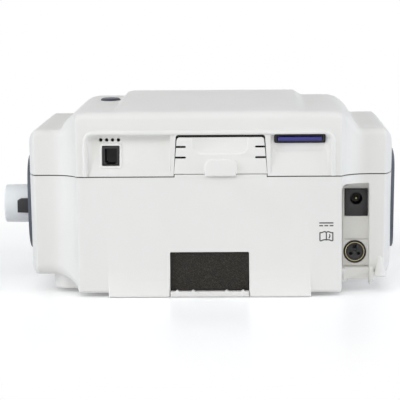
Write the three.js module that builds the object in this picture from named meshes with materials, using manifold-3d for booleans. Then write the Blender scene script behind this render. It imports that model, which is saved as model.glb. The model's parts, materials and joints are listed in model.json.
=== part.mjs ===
// A bedside bilevel breathing machine, seen in its own frame:
// x across (to the right when the rear is looked at), y from the rear to the display side, z up.
// Every length is in millimetres.
import * as THREE from 'three';
import { mergeVertices } from 'three/addons/utils/BufferGeometryUtils.js';
import Module from 'manifold-3d';

const wasm = await Module();
wasm.setup();

// Overall sizes
const bodyDepth = 181;
const crestHeight = 108;
const blockHeight = 100;
const wingHeight = 90;
const partingHeight = 64.6;
const blockHalfWidth = 73;
const wingHalfWidth = 105.2;
const tableGap = 0.9;
const standHeight = 1.3;
const wallThickness = 2.5;
const seatGap = 0.3;
const partingGap = 0.5;
const overrun = 6;
const taperShare = 0.02;

const rearY = -bodyDepth / 2;
const frontY = bodyDepth / 2;

// How the spine, the shoulders and the wings follow each other across the width
const spineHalfWidth = 49.5;
const spineFlank = 5;
const edgeRound = 2.5;
const edgeWidth = 4;
const stepDepth = 13.5;
const stepWidth = 19;
const dropWidth = 16;
const wingLift = 9;
const wingRoundWidth = 13;
const barrelRear = 56;
const barrelFront = 40;
const barrelTop = 12.5;
const barrelTopWidth = 11;
const barrelBottom = 7;
const barrelFootWidth = 5;
const barrelDepthPower = 2;
const barrelFootPower = 2;
const barrelTopPower = 1.5;
const stepPower = 3;

// Where the cross sections stand, as shares of the zone that each stretch takes
const flankShares = [0.3, 0.6, 1];
const stepShares = [0, 0.08, 0.16, 0.26, 0.4, 0.6, 1];
const endShares = [0.3, 0.58, 0.8, 0.94, 1];
const innerStepShares = [0, 0.14, 0.32, 0.6, 1];
const innerEndShares = [0.45, 0.8, 1];

// Side view of the body: rear crease, crest, top of the display slope and its foot
const rearLean = 0.8;
const crestInset = 70.5;
const spineCrestY = rearY + crestInset;
const shoulderRise = 1.4;
const slopeRun = 49.5;
const slopeTopY = frontY - slopeRun;
const slopeTopRise = 2.4;
const spineTopDrop = 3.2;
const slopeFootHeight = 42;
const frontFootInset = 3;
const wingFrontInset = 4;
const wingTopRise = 1.2;
const wingSlopeRun = 39.5;
const wingSlopeTopY = frontY - wingSlopeRun;
const footReach = 2;
const creaseReach = 4.5;
const slopeReach = 9;
const slopeFootReach = 14;
const frontFootReach = 5;
const wingReach = 7;
const sideUseShare = 0.48;
const cornerPullShare = 0.55;
const leastReachShare = 0.3;

// Base under the wings, and the foot panel at the rear
const baseSideInset = 17.7;
const baseHalfWidth = wingHalfWidth - baseSideInset;
const baseRearInset = 19.5;
const baseFrontInset = 16;
const baseCornerRadius = 9;
const baseNotchX = 73.4;
const baseNotchDepth = 51;
const footPanelHalfWidth = 55.3;
const footPanelHeight = 18;
const footPanelFlare = 3;
const footPanelSide = 1.4;
const footPanelSink = 0.2;
const footPanelShares = [0, 0.22, 0.5, 0.75, 1];
const footPanelEdgeShare = 0.67;

// Recess across the rear of the upper shell, its bead and its two ribs
const recessHalfWidth = 66.3;
const recessTop = 87.4;
const recessDepth = 5.6;
const recessDraft = 2.4;
const recessCorner = 3.6;
const ribCorner = 0.4;
const recessTopDraft = 0.5;
const beadWidth = 2.5;
const beadHeight = 0.9;
const beadRound = 0.6;
const ribWidth = 1.3;

// Accessory cover and the bay behind it
const coverCentreX = 6.3;
const coverFootWidth = 50.8;
const coverTopWidth = 47.6;
const coverTopGap = 1.4;
const coverSideGap = 0.5;
const coverThickness = 2;
const coverSetBack = 0.4;
const coverCorner = 1.6;
const coverSlotLength = 5;
const coverSlotHeight = 1.1;
const coverSlotHeights = [80.9, 75.1];
const coverReliefWidth = 29.4;
const coverReliefFoot = 77.3;
const coverReliefDepth = 0.6;
const coverReliefCorner = 4;
const coverTabWidth = 17;
const coverTabTop = 74.2;
const coverTabFoot = 64.9;
const coverTabThickness = 1.3;
const coverTabCorner = 4.2;
const coverLandHeight = 1.2;
const bayWall = 1.5;
const bayDepth = 26;
const bayConnectorHeight = 6;
const bayConnectorLength = 22;
const bayConnectorDepth = 5;

// Network jack in its frame, with the sound holes over it
const jackCentreX = -53.5;
const jackWidth = 9.1;
const jackFoot = 70.9;
const jackTop = 81.2;
const jackWall = 1.3;
const jackDepth = 12;
const jackSetBack = 0.5;
const jackCavityDepth = 11;
const jackFrameWidth = 1.5;
const jackFrameHeight = 0.5;
const jackNotchWidth = 5;
const soundHoleRadius = 0.95;
const soundHolePitch = 3.05;
const soundHoleHeight = 84.6;
const soundHoleCount = 4;
const speakerRadius = 6;
const speakerThickness = 3.2;
const speakerWall = 1;
const speakerMagnetShare = 0.6;

// Memory card, its reader and the finger scoop under the slot
const cardCentreX = 49.5;
const cardWidth = 24;
const cardLength = 32;
const cardThickness = 2.1;
const cardCorner = 3;
const cardHeight = 84.8;
const cardProud = 2.4;
const slotWidth = 28;
const slotHeight = 4.8;
const readerDepth = 33;
const readerSetBack = 0.9;
const readerWidth = 30.4;
const readerHeight = 5.4;
const scoopWidth = 28;
const scoopHeight = 4;
const scoopDepth = 1.1;
const bracketThickness = 1.2;
const bracketInset = 2;

// Niche in the right wing with its pan, the power inlet and the round socket
const nicheLeft = 73.2;
const nicheRight = 88.8;
const nicheFoot = 5;
const nicheTop = 58.9;
const nicheCorner = 7;
const nicheDepth = 24.5;
const panWall = 0.9;
const panBack = 1.8;
const panDepth = 13;
const panLine = 0.25;
const inletLeft = 74.6;
const inletRight = 87.4;
const inletFoot = 40.3;
const inletTop = 55.5;
const inletDepth = 16;
const inletStand = 1.2;
const inletHoleHeight = 49.9;
const inletHoleRadius = 3.2;
const inletHoleDepth = 11;
const inletPinRadius = 1;
const inletPinLength = 9;
const stepFoot = 27.3;
const stepStand = 1;
const ledgeTop = 12.4;
const ledgeStand = 6.5;
const socketCentreX = 80.2;
const socketHeight = 20.3;
const socketRadius = 5.4;
const socketRingRadius = 6.2;
const socketDepth = 12;
const socketStand = 1.4;
const socketPinCircle = 2.5;
const socketPinRadius = 0.95;
const socketPinDepth = 5;
const socketRecess = 1.6;
const socketRimWidth = 1;
const socketPinCount = 3;

// Teardrop boss beside the niche
const dropCentreX = 92.9;
const dropFoot = 8.4;
const dropTop = 19.5;
const dropRadius = 2.9;
const dropStand = 2.6;
const dropHeightShares = [0, 0.3, 0.65, 0.9];

// Inlet opening, the filters, the sill and the duct
const filterHalfWidth = 21.6;
const filterTop = 23.4;
const sillHeight = 1.9;
const sillSetBack = 0.4;
const bumpRadius = 0.85;
const bumpPlaceShares = [-0.82, -0.42, 0.43, 0.84];
const foamThickness = 8;
const foamSetBack = 1.2;
const fineThickness = 2.4;
const ductWall = 1.6;
const ductDepth = 34;

// Air outlet on the left, the block beside it and the side panels
const outletHeight = 41.2;
const outletY = -1.5;
const outletStand = 16.1;
const outletReach = wingHalfWidth + outletStand;
const outletRadius = 11;
const outletTaperShare = 0.025;
const outletBore = 8.6;
const outletFlangeRadius = 14;
const outletFlangeThickness = 2.4;
const outletEdge = 1;
const outletClearance = 0.6;
const stopLength = 6.3;
const stopHeight = 8.6;
const stopStand = 4.2;
const stopChamferShare = 0.28;
const stopTopShares = [0.95, 0.72];
const stopFootShare = 0.9;
const panelEndInset = 33.5;
const panelHalfDepth = frontY - panelEndInset;
const panelHeight = 59;
const panelCentreHeight = 45.5;
const panelStand = 1.2;
const panelRimShare = 0.93;
const panelPower = 2.6;

// Oval start button on the left shoulder
const startX = -59;
const startY = -3;
const startHalfWidth = 5.6;
const startHalfDepth = 9;
const startProud = 1.1;
const startFlange = 1.2;
const startFlangeThickness = 1;
const startCrownShare = 0.85;
const startCrownInset = 3;

// Control panel on the display slope: its lens, display, keys, mat and board, measured along the slope
const controlHalfWidth = 44;
const controlTop = 30;
const controlFoot = 24;
const controlCorner = 6;
const controlThickness = 4.3;
const controlFlange = 2;
const controlFlangeThickness = 1.5;
const lensWidth = 80;
const lensLength = 38;
const lensThickness = 2;
const lensCorner = 4;
const lensShift = 8.5;
const lensGap = 0.3;
const lensBorder = 6;
const displayBorder = 2;
const keyRowShift = 17;
const keyPitch = 16.5;
const keyHalfWidth = 5.5;
const keyHalfLength = 3.6;
const keyProud = 1.2;
const keyClearance = 0.4;
const keyFlange = 0.6;
const keyFlangeThickness = 1;
const rockerHalfWidth = 4.6;
const rockerHalfLength = 5;
const matThickness = 1.5;
const matWidth = 80;
const matLength = 11;
const boardThickness = 1.6;
const displayBoardTop = 29;
const displayBoardFoot = 23;
const displayBoardHalfWidth = 41;
const displayBoardSink = 8.8;
const pillarRadius = 1.8;
const pillarHoleGap = 0.3;
const pillarPitchShare = 1.5;

// Feet and housing screws
const footRadius = 7;
const footEdge = 0.6;
const footRecess = 1.7;
const footPlaceX = 62;
const footRearInset = 29.5;
const footFrontInset = 27.5;
const footRearY = rearY + footRearInset;
const footFrontY = frontY - footFrontInset;
const screwPlaceX = 69;
const screwRearInset = 38.5;
const screwFrontInset = 54.5;
const screwRearY = rearY + screwRearInset;
const screwFrontY = frontY - screwFrontInset;
const screwPostRadius = 4;
const screwWellRadius = 3.2;
const screwWellDepth = 9;
const screwShankRadius = 1.4;
const screwHeadRadius = 2.7;
const screwHeadHeight = 2;
const screwLength = 16;
const screwClearance = 0.3;
const postWall = 2.2;

// Blower: scroll housing, motor, impeller, shaft and rubber mounts
const blowerX = 12;
const blowerY = 22;
const scrollStart = 31;
const scrollEnd = 39;
const scrollFoot = 29;
const scrollHeight = 25;
const scrollWall = 2;
const scrollMouthHalfWidth = 9;
const scrollMouthX = -34;
const scrollInletRadius = 15;
const scrollLidThickness = 2.2;
const motorRadius = 17;
const motorHeight = 16;
const motorCupWall = 2;
const impellerRadius = 26;
const impellerHubRadius = 7;
const impellerHeight = 13;
const impellerPlate = 1.4;
const impellerBladeCount = 11;
const impellerBladeThickness = 1.3;
const impellerSweep = 0.85;
const impellerGap = 1.5;
const bladeRootShare = 0.8;
const bladeHeightShare = 0.9;
const bladeSweepPower = 1.3;
const shaftRadius = 1.6;
const mountRadius = 5;
const mountWaistRadius = 3.6;
const mountCircle = 27;
const mountCount = 3;
const mountFootHeight = 7;
const mountEarThickness = 2.4;
const mountWaistShares = [0.35, 0.65];

// Coupling between the blower and the outlet, and the flow sensor on it
const collarRadius = 8.4;
const collarWall = 1.6;
const collarLength = 7;
const couplingWall = 1.6;
const couplingFoldCount = 4;
const couplingFoldHeight = 1.4;
const couplingFoldPitch = 6;
const couplingFoldStart = 6;
const sensorWidth = 16;
const sensorDepth = 12;
const sensorHeight = 6;
const sensorPlugShares = [0.3, 0.7];
const sensorPlugHeight = 2.4;

// Main board behind the rear recess and its posts
const boardHeight = 66.2;
const boardHalfWidth = 60.5;
const boardRearInset = 10.5;
const boardDepth = 64;
const boardPostX = 56;
const boardPostInset = 5;
const boardPostRadius = 3;
const boardPartShares = [
  [0.12, 0.62, 0.24, 0.2, 0.04],
  [0.46, 0.6, 0.3, 0.3, 0.03],
  [0.74, 0.7, 0.16, 0.16, 0.12],
  [0.3, 0.8, 0.1, 0.12, 0.05],
];

// Facets
const circleSteps = 20;
const smallCircleSteps = 10;
const holeSteps = 8;
const outletSteps = 24;
const outlineSteps = 3;
const ovalSteps = 18;
const panelSteps = 30;
const scrollSteps = 26;
const bladeSteps = 4;
const dropSteps = 8;

// Small helpers for values
const clamp01 = (value) => Math.min(1, Math.max(0, value));
const mix = (from, to, share) => from + (to - from) * share;
const smooth = (value) => clamp01(value) ** 2 * (3 - 2 * clamp01(value));
const bulge = (share, power) => 1 - (1 - clamp01(share) ** power) ** (1 / power);
const taperAt = (height) => 1 - taperShare * (1 - height / crestHeight);
const zone = (start, width, shares) => shares.map((share) => start + width * share);

// Closed meshes to solids and back
function toSolid(geometry) {
  const bare = geometry.clone();
  bare.deleteAttribute('normal');
  bare.deleteAttribute('uv');
  const merged = mergeVertices(bare, 1e-4);
  return new wasm.Manifold(new wasm.Mesh({
    numProp: 3,
    vertProperties: new Float32Array(merged.attributes.position.array),
    triVerts: new Uint32Array(merged.index.array),
  }));
}

function toGeometry(solid) {
  const mesh = solid.getMesh();
  const geometry = new THREE.BufferGeometry();
  geometry.setAttribute('position', new THREE.BufferAttribute(new Float32Array(mesh.vertProperties), 3));
  geometry.setIndex(new THREE.BufferAttribute(new Uint32Array(mesh.triVerts), 1));
  geometry.computeVertexNormals();
  return geometry;
}

const join = (...geometries) => toGeometry(geometries.map(toSolid).reduce((all, next) => all.add(next)));

function cut(geometry, ...tools) {
  return toGeometry(tools.map(toSolid).reduce((all, next) => all.subtract(next), toSolid(geometry)));
}

const overlap = (geometry, other) => toGeometry(toSolid(geometry).intersect(toSolid(other)));

// Shapes from corner to corner
function boxBetween([x0, y0, z0], [x1, y1, z1]) {
  const geometry = new THREE.BoxGeometry(x1 - x0, y1 - y0, z1 - z0);
  return geometry.translate((x0 + x1) / 2, (y0 + y1) / 2, (z0 + z1) / 2);
}

// A rod along an axis, from one place on it to the other
function rod(axis, from, to, radius, centre, steps = circleSteps) {
  const geometry = new THREE.CylinderGeometry(radius, radius, to - from, steps);
  if (axis === 'x') geometry.rotateZ(-Math.PI / 2);
  if (axis === 'z') geometry.rotateX(Math.PI / 2);
  const middle = (from + to) / 2;
  const [a, b] = centre;
  if (axis === 'x') return geometry.translate(middle, a, b);
  if (axis === 'y') return geometry.translate(a, middle, b);
  return geometry.translate(a, b, middle);
}

// An outline in x and z pushed along y, or in x and y pushed along z
function plateAlongY(shape, y0, y1, options = {}) {
  const geometry = new THREE.ExtrudeGeometry(shape, {
    depth: y1 - y0, bevelEnabled: false, curveSegments: outlineSteps, ...options,
  });
  return geometry.rotateX(Math.PI / 2).translate(0, y1, 0);
}

function plateAlongZ(shape, z0, z1, options = {}) {
  const geometry = new THREE.ExtrudeGeometry(shape, {
    depth: z1 - z0, bevelEnabled: false, curveSegments: outlineSteps, ...options,
  });
  return geometry.translate(0, 0, z0);
}

// Outline of a rectangle between two corners; each corner radius in turn: lower left, lower right,
// upper right, upper left
function outline(x0, y0, x1, y1, radii) {
  const [lowerLeft, lowerRight, upperRight, upperLeft] = Array.isArray(radii) ? radii : Array(4).fill(radii);
  const shape = new THREE.Shape();
  shape.moveTo(x0 + lowerLeft, y0);
  shape.lineTo(x1 - lowerRight, y0);
  if (lowerRight) shape.absarc(x1 - lowerRight, y0 + lowerRight, lowerRight, -Math.PI / 2, 0);
  shape.lineTo(x1, y1 - upperRight);
  if (upperRight) shape.absarc(x1 - upperRight, y1 - upperRight, upperRight, 0, Math.PI / 2);
  shape.lineTo(x0 + upperLeft, y1);
  if (upperLeft) shape.absarc(x0 + upperLeft, y1 - upperLeft, upperLeft, Math.PI / 2, Math.PI);
  shape.lineTo(x0, y0 + lowerLeft);
  if (lowerLeft) shape.absarc(x0 + lowerLeft, y0 + lowerLeft, lowerLeft, Math.PI, Math.PI * 1.5);
  return shape;
}

function ovalPoints(centreX, centreY, halfWidth, halfLength) {
  return Array.from({ length: ovalSteps }, (_, index) => {
    const angle = Math.PI * 2 * index / ovalSteps;
    return new THREE.Vector2(centreX + halfWidth * Math.cos(angle), centreY + halfLength * Math.sin(angle));
  });
}

// A turned piece: profile points are pairs of radius and place along the axis
function turned(profile, steps = circleSteps) {
  return new THREE.LatheGeometry(profile.map(([radius, place]) => new THREE.Vector2(radius, place)), steps);
}

// A skin over rings of points that all have the same count, closed at both ends
function loft(rings) {
  const count = rings[0].length;
  const points = rings.flat();
  const faces = [];
  for (let ring = 0; ring + 1 < rings.length; ring += 1) {
    for (let place = 0; place < count; place += 1) {
      const next = (place + 1) % count;
      const a = ring * count + place;
      const b = ring * count + next;
      faces.push(a, b, b + count, a, b + count, a + count);
    }
  }
  const first = points.length;
  const middleOf = (ring) => ring.reduce((sum, point) => sum.add(point), new THREE.Vector3())
    .divideScalar(count);
  points.push(middleOf(rings[0]), middleOf(rings[rings.length - 1]));
  const lastRing = (rings.length - 1) * count;
  for (let place = 0; place < count; place += 1) {
    const next = (place + 1) % count;
    faces.push(first, next, place, first + 1, lastRing + place, lastRing + next);
  }
  let volume = 0;
  for (let face = 0; face < faces.length; face += 3) {
    const [a, b, c] = [0, 1, 2].map((corner) => points[faces[face + corner]]);
    volume += a.dot(new THREE.Vector3().crossVectors(b, c));
  }
  if (volume < 0) faces.reverse();
  const geometry = new THREE.BufferGeometry();
  geometry.setAttribute('position', new THREE.Float32BufferAttribute(points.flatMap((p) => p.toArray()), 3));
  geometry.setIndex(faces);
  return geometry;
}

// The body's side view at a distance from the centre plane. Each corner has a place, a height and the
// length over which it is rounded; they run from the rear foot over the top to the front foot.
const spineCorners = [
  { y: rearY, z: tableGap, reach: footReach },
  { y: rearY + rearLean, z: blockHeight, reach: creaseReach },
  { y: spineCrestY, z: crestHeight, reach: slopeFootReach },
  { y: slopeTopY, z: crestHeight - spineTopDrop, reach: slopeReach },
  { y: frontY, z: slopeFootHeight, reach: slopeFootReach },
  { y: frontY - frontFootInset, z: tableGap, reach: frontFootReach },
];
const shoulderCorners = [
  spineCorners[0],
  spineCorners[1],
  { y: spineCrestY, z: blockHeight + shoulderRise, reach: slopeFootReach },
  { y: slopeTopY, z: blockHeight + slopeTopRise, reach: slopeReach },
  spineCorners[4],
  spineCorners[5],
];
const wingCorners = [
  { y: rearY + stepDepth, z: wingLift, reach: wingReach },
  { y: rearY + stepDepth, z: wingHeight, reach: creaseReach },
  { y: spineCrestY, z: wingHeight + wingTopRise / 2, reach: slopeFootReach },
  { y: wingSlopeTopY, z: wingHeight + wingTopRise, reach: slopeReach },
  { y: frontY - wingFrontInset, z: slopeFootHeight, reach: slopeFootReach },
  { y: frontY - wingFrontInset - frontFootInset, z: wingLift, reach: wingReach },
];
const cornerSteps = [2, 3, 1, 2, 2, 2];
const coarseCornerSteps = [1, 2, 1, 1, 2, 1];

const wingRoundStart = wingHalfWidth - wingRoundWidth;
const blockEdge = blockHalfWidth - edgeRound;

function stepShare(distance) {
  const along = clamp01((distance - blockEdge) / (stepWidth + edgeRound));
  return (1 - (1 - along) ** stepPower) * smooth((distance - blockEdge) / edgeWidth);
}

function bodyCorners(distance) {
  const flank = smooth((distance - spineHalfWidth) / spineFlank);
  const step = stepShare(distance);
  const drop = smooth((distance - blockHalfWidth) / dropWidth);
  const endShare = (width) => (distance - wingHalfWidth + width) / width;
  const depthBulge = bulge(endShare(wingRoundWidth), barrelDepthPower);
  const lift = barrelBottom * bulge(endShare(barrelFootWidth), barrelFootPower);
  const fall = -barrelTop * bulge(endShare(barrelTopWidth), barrelTopPower);
  const pull = [
    { y: barrelRear * depthBulge, z: lift },
    { y: barrelRear * depthBulge, z: fall },
    { y: 0, z: fall },
    { y: -barrelFront * depthBulge, z: fall },
    { y: -barrelFront * depthBulge, z: 0 },
    { y: -barrelFront * depthBulge, z: lift },
  ];
  return wingCorners.map((wing, index) => {
    const isTop = index > 0 && index < wingCorners.length - 1;
    const heightShare = isTop ? drop : step;
    const from = (key) => mix(spineCorners[index][key], shoulderCorners[index][key], flank);
    return {
      y: mix(from('y'), wing.y, step) + pull[index].y,
      z: mix(from('z'), wing.z, heightShare) + pull[index].z,
      reach: mix(from('reach'), wing.reach, heightShare),
    };
  });
}

// Corners moved inwards by an inset, along the bisector of their two sides
function insetCorners(corners, inset) {
  return corners.map((corner, index) => {
    const before = corners[(index + corners.length - 1) % corners.length];
    const after = corners[(index + 1) % corners.length];
    const inward = (from, to) => {
      const length = Math.hypot(to.y - from.y, to.z - from.z);
      return { y: (to.z - from.z) / length, z: -(to.y - from.y) / length };
    };
    const a = inward(before, corner);
    const b = inward(corner, after);
    const scale = inset / (1 + a.y * b.y + a.z * b.z);
    const reach = Math.max(corner.reach - inset, corner.reach * leastReachShare);
    return { y: corner.y + (a.y + b.y) * scale, z: corner.z + (a.z + b.z) * scale, reach };
  });
}

function bodyRing(x, inset, steps) {
  const distance = Math.abs(x) + (x === 0 ? 0 : inset);
  const corners = insetCorners(bodyCorners(distance), inset);
  const ring = [];
  corners.forEach((corner, index) => {
    const towards = (other) => {
      const length = Math.hypot(other.y - corner.y, other.z - corner.z);
      const share = Math.min(corner.reach / length, sideUseShare);
      return new THREE.Vector2(mix(corner.y, other.y, share), mix(corner.z, other.z, share));
    };
    const start = towards(corners[(index + corners.length - 1) % corners.length]);
    const finish = towards(corners[(index + 1) % corners.length]);
    const tip = new THREE.Vector2(corner.y, corner.z);
    const [leave, arrive] = [start, finish].map((point) => point.clone().lerp(tip, cornerPullShare));
    const curve = new THREE.CubicBezierCurve(start, leave, arrive, finish);
    curve.getPoints(steps[index]).forEach((point) => ring.push(point));
  });
  return ring.map((point) => new THREE.Vector3(x * taperAt(point.y), point.x, point.y));
}

const fineStations = [
  spineHalfWidth,
  ...zone(spineHalfWidth, spineFlank, flankShares),
  ...zone(blockEdge, stepWidth + edgeRound, stepShares),
  ...zone(wingRoundStart, wingRoundWidth, endShares),
];
const coarseStations = [
  spineHalfWidth, spineHalfWidth + spineFlank,
  ...zone(blockEdge, stepWidth + edgeRound, innerStepShares),
  ...zone(wingRoundStart, wingRoundWidth, innerEndShares),
];

// The body as one closed skin, moved inwards by an inset; the coarse one serves the hidden inside
function bodyForm(inset, coarse = false) {
  const right = (coarse ? coarseStations : fineStations).map((station) => station - inset);
  const stations = [...right.slice().reverse().map((x) => -x), 0, ...right];
  return loft(stations.map((x) => bodyRing(x, inset, coarse ? coarseCornerSteps : cornerSteps)));
}

const everything = wingHalfWidth * 2;
const aboveParting = () => boxBetween(
  [-everything, -everything, partingHeight + partingGap / 2], [everything, everything, everything],
);
const belowParting = () => boxBetween(
  [-everything, -everything, -everything], [everything, everything, partingHeight - partingGap / 2],
);

// The base under the wings, as an upright plate with round corners; it stops short under the niche
function baseBlock(inset, floor, top) {
  const shape = outline(
    -baseHalfWidth + inset, rearY + baseRearInset + inset,
    baseHalfWidth - inset, frontY - baseFrontInset - inset,
    baseCornerRadius - inset,
  );
  const notch = boxBetween([baseNotchX - inset, -everything, -everything],
    [everything, rearY + baseRearInset + baseNotchDepth + inset, everything]);
  return cut(plateAlongZ(shape, floor, top), notch);
}

const floorHeight = tableGap + wallThickness;
const outerForm = bodyForm(0);
const innerForm = bodyForm(wallThickness, true);

// Rings in planes across y, used by the recess and its backing
function recessRing(y, left, right, foot, top, corners, lean) {
  const shape = outline(left, foot, right, top, corners);
  return shape.getPoints(outlineSteps).slice(0, -1).map((point) => new THREE.Vector3(
    point.x, y + lean * (point.y - partingHeight) / (recessTop - partingHeight), point.y,
  ));
}

function recessSolid(left, right, draftLeft, draftRight, grow) {
  const foot = partingHeight - (grow ? 0 : overrun);
  const top = recessTop + grow;
  const corners = [0, 0, ...[draftRight, draftLeft].map((draft) => (draft ? recessCorner : ribCorner))];
  return loft([
    ...[rearY - overrun, rearY].map((y) => recessRing(y, left - grow, right + grow, foot, top, corners, 0)),
    recessRing(rearY + grow, left - grow + draftLeft, right + grow - draftRight, foot, top - recessTopDraft,
      corners, recessDepth),
  ]);
}

// The trapezoid of the accessory cover, grown by a gap on each side
function coverShape(gapSide, gapTop, foot) {
  const top = recessTop - coverTopGap + gapTop;
  const footHalf = coverFootWidth / 2 + gapSide;
  const topHalf = coverTopWidth / 2 + gapSide;
  const shape = new THREE.Shape();
  shape.moveTo(coverCentreX - footHalf, foot);
  shape.lineTo(coverCentreX + footHalf, foot);
  shape.lineTo(coverCentreX + topHalf, top - coverCorner);
  shape.quadraticCurveTo(coverCentreX + topHalf, top, coverCentreX + topHalf - coverCorner, top);
  shape.lineTo(coverCentreX - topHalf + coverCorner, top);
  shape.quadraticCurveTo(coverCentreX - topHalf, top, coverCentreX - topHalf, top - coverCorner);
  return shape;
}

const speakerHeight = jackTop + seatGap * 2 + speakerRadius + speakerWall + seatGap;
const recessFloorY = (height) => rearY
  + recessDepth * (height - partingHeight) / (recessTop - partingHeight);
const coverLandTop = partingHeight + coverLandHeight;
const coverFoot = coverLandTop + seatGap;
const bayLeft = coverCentreX - coverFootWidth / 2 - coverSideGap;
const bayRight = coverCentreX + coverFootWidth / 2 + coverSideGap;

// The slope that carries the display, as a frame: x across, y down the slope, z out of it
const slopeTopHeight = crestHeight - spineTopDrop;
const slopeFrame = new THREE.Group();
slopeFrame.position.set(0, (slopeTopY + frontY) / 2, (slopeTopHeight + slopeFootHeight) / 2);
slopeFrame.rotation.x = -Math.atan2(slopeTopHeight - slopeFootHeight, frontY - slopeTopY);
slopeFrame.updateMatrix();
const onSlope = (geometry) => geometry.applyMatrix4(slopeFrame.matrix);

const keySteps = { alarm_button: -2, ramp_button: -1, left_button: 1, right_button: 2 };
const lensTop = -lensShift - lensLength / 2;
const lensFoot = -lensShift + lensLength / 2;

function controlOutline(grow) {
  return outline(-controlHalfWidth - grow, -controlTop - grow, controlHalfWidth + grow, controlFoot + grow,
    controlCorner + grow);
}

function keyOutline(x, grow) {
  return outline(x - keyHalfWidth - grow, keyRowShift - keyHalfLength - grow, x + keyHalfWidth + grow,
    keyRowShift + keyHalfLength + grow, keyHalfLength);
}

function rockerOutline(grow) {
  return outline(-rockerHalfWidth - grow, keyRowShift - rockerHalfLength - grow, rockerHalfWidth + grow,
    keyRowShift + rockerHalfLength + grow, rockerHalfWidth);
}

const mirrored = (x, rear, front) => [[-x, rear], [x, rear], [-x, front], [x, front]];
const screwPlaces = mirrored(screwPlaceX, screwRearY, screwFrontY);
const footPlaces = mirrored(footPlaceX, footRearY, footFrontY);
const screwSeat = tableGap + screwWellDepth;
const lowerPostTop = screwSeat + postWall;

const midForm = bodyForm(wallThickness / 2, true);
const everyPlace = (places, make) => places.map(([x, y]) => make(x, y));

function upperHousing() {
  const shell = overlap(cut(outerForm, innerForm), aboveParting());
  const grownRecess = recessSolid(-recessHalfWidth, recessHalfWidth, recessDraft, recessDraft, wallThickness);
  const backing = overlap(overlap(grownRecess, outerForm), aboveParting());
  const posts = overlap(join(...everyPlace(screwPlaces, (x, y) => rod('z', lowerPostTop + seatGap,
    crestHeight, screwPostRadius, [x, y], smallCircleSteps))), midForm);
  const cup = overlap(speakerCup(), midForm);
  const body = cut(join(shell, backing, posts, cup, overlap(beadBand(), aboveParting())),
    recessSolid(-recessHalfWidth, bayLeft - ribWidth, recessDraft, 0, 0),
    recessSolid(bayRight + ribWidth, recessHalfWidth, 0, recessDraft, 0));
  const screwHoles = everyPlace(screwPlaces, (x, y) => rod('z', tableGap, lowerPostTop + screwLength,
    screwShankRadius + screwClearance, [x, y], smallCircleSteps));
  return cut(join(body, jackFrame()), ...screwHoles, ...soundHoles(), jackHole(), slotHole(), fingerScoop(),
    bayHole(), startHole(), controlOpening());
}

// The tools that open the upper shell
function soundHoles() {
  return Array.from({ length: soundHoleCount }, (_, index) => rod('y', rearY - overrun,
    rearY + recessDepth + overrun, soundHoleRadius,
    [jackCentreX + (index - (soundHoleCount - 1) / 2) * soundHolePitch, soundHoleHeight], holeSteps));
}

function jackHole() {
  return boxBetween(
    [jackCentreX - jackWidth / 2 - seatGap, rearY - overrun, jackFoot - seatGap],
    [jackCentreX + jackWidth / 2 + seatGap, rearY + overrun * 2, jackTop + seatGap],
  );
}

function slotHole() {
  return boxBetween(
    [cardCentreX - slotWidth / 2, rearY - overrun, cardHeight - slotHeight / 2],
    [cardCentreX + slotWidth / 2, rearY + overrun * 2, cardHeight + slotHeight / 2],
  );
}

function fingerScoop() {
  const foot = cardHeight - slotHeight / 2 - scoopHeight;
  const shape = outline(cardCentreX - scoopWidth / 2, foot, cardCentreX + scoopWidth / 2, cardHeight,
    [scoopHeight / 2, scoopHeight / 2, 0, 0]);
  return plateAlongY(shape, rearY - overrun, recessFloorY(cardHeight - slotHeight / 2) + scoopDepth / 2);
}

const bayHole = () => plateAlongY(coverShape(coverSideGap, coverTopGap, partingHeight - overrun),
  rearY - overrun, rearY + overrun * 2);

const startHole = () => plateAlongZ(
  new THREE.Shape(ovalPoints(startX, startY, startHalfWidth + keyClearance, startHalfDepth + keyClearance)),
  partingHeight + overrun, crestHeight + overrun,
);

const controlOpening = () => onSlope(plateAlongZ(controlOutline(keyClearance), -overrun, overrun));

const backingY = recessFloorY(recessTop + wallThickness) + wallThickness;

function speakerCup() {
  return cut(
    rod('y', backingY - wallThickness, backingY + speakerThickness, speakerRadius + speakerWall + seatGap,
      [jackCentreX, speakerHeight]),
    rod('y', backingY, frontY, speakerRadius + seatGap, [jackCentreX, speakerHeight]),
  );
}

// The bead round the recess: a low rounded band, open at the parting line
function beadBand() {
  const outer = outline(-recessHalfWidth - beadWidth, partingHeight - overrun, recessHalfWidth + beadWidth,
    recessTop + beadWidth, [0, 0, recessCorner + beadWidth, recessCorner + beadWidth]);
  const inner = outline(-recessHalfWidth, partingHeight - overrun * 2, recessHalfWidth, recessTop,
    [0, 0, recessCorner, recessCorner]);
  const band = plateAlongY(outer, rearY - beadHeight, rearY + wallThickness, {
    bevelEnabled: true,
    bevelThickness: beadRound,
    bevelSize: beadRound,
    bevelOffset: -beadRound,
    bevelSegments: 1,
  });
  return cut(band, plateAlongY(inner, rearY - overrun, rearY + overrun));
}

// A low raised frame for the jack, on the sloping floor of the recess
function jackFrame() {
  const half = jackWidth / 2 + jackFrameWidth;
  const ring = (y, grow) => [
    [jackCentreX - half - grow, jackFoot - jackFrameWidth - grow],
    [jackCentreX + half + grow, jackFoot - jackFrameWidth - grow],
    [jackCentreX + half + grow, jackTop + jackFrameWidth + grow],
    [jackCentreX - half - grow, jackTop + jackFrameWidth + grow],
  ].map(([x, z]) => new THREE.Vector3(x, y + recessFloorY(z), z));
  return loft([ring(-jackFrameHeight, -jackFrameHeight), ring(0, 0), ring(wallThickness / 2, 0)]);
}

// The room that the outlet takes through a wall, a side panel or the block beside it
const outletRoom = () => rod('x', -outletReach, -wingHalfWidth / 2, outletRadius + outletClearance,
  [outletY, outletHeight], outletSteps);

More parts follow.
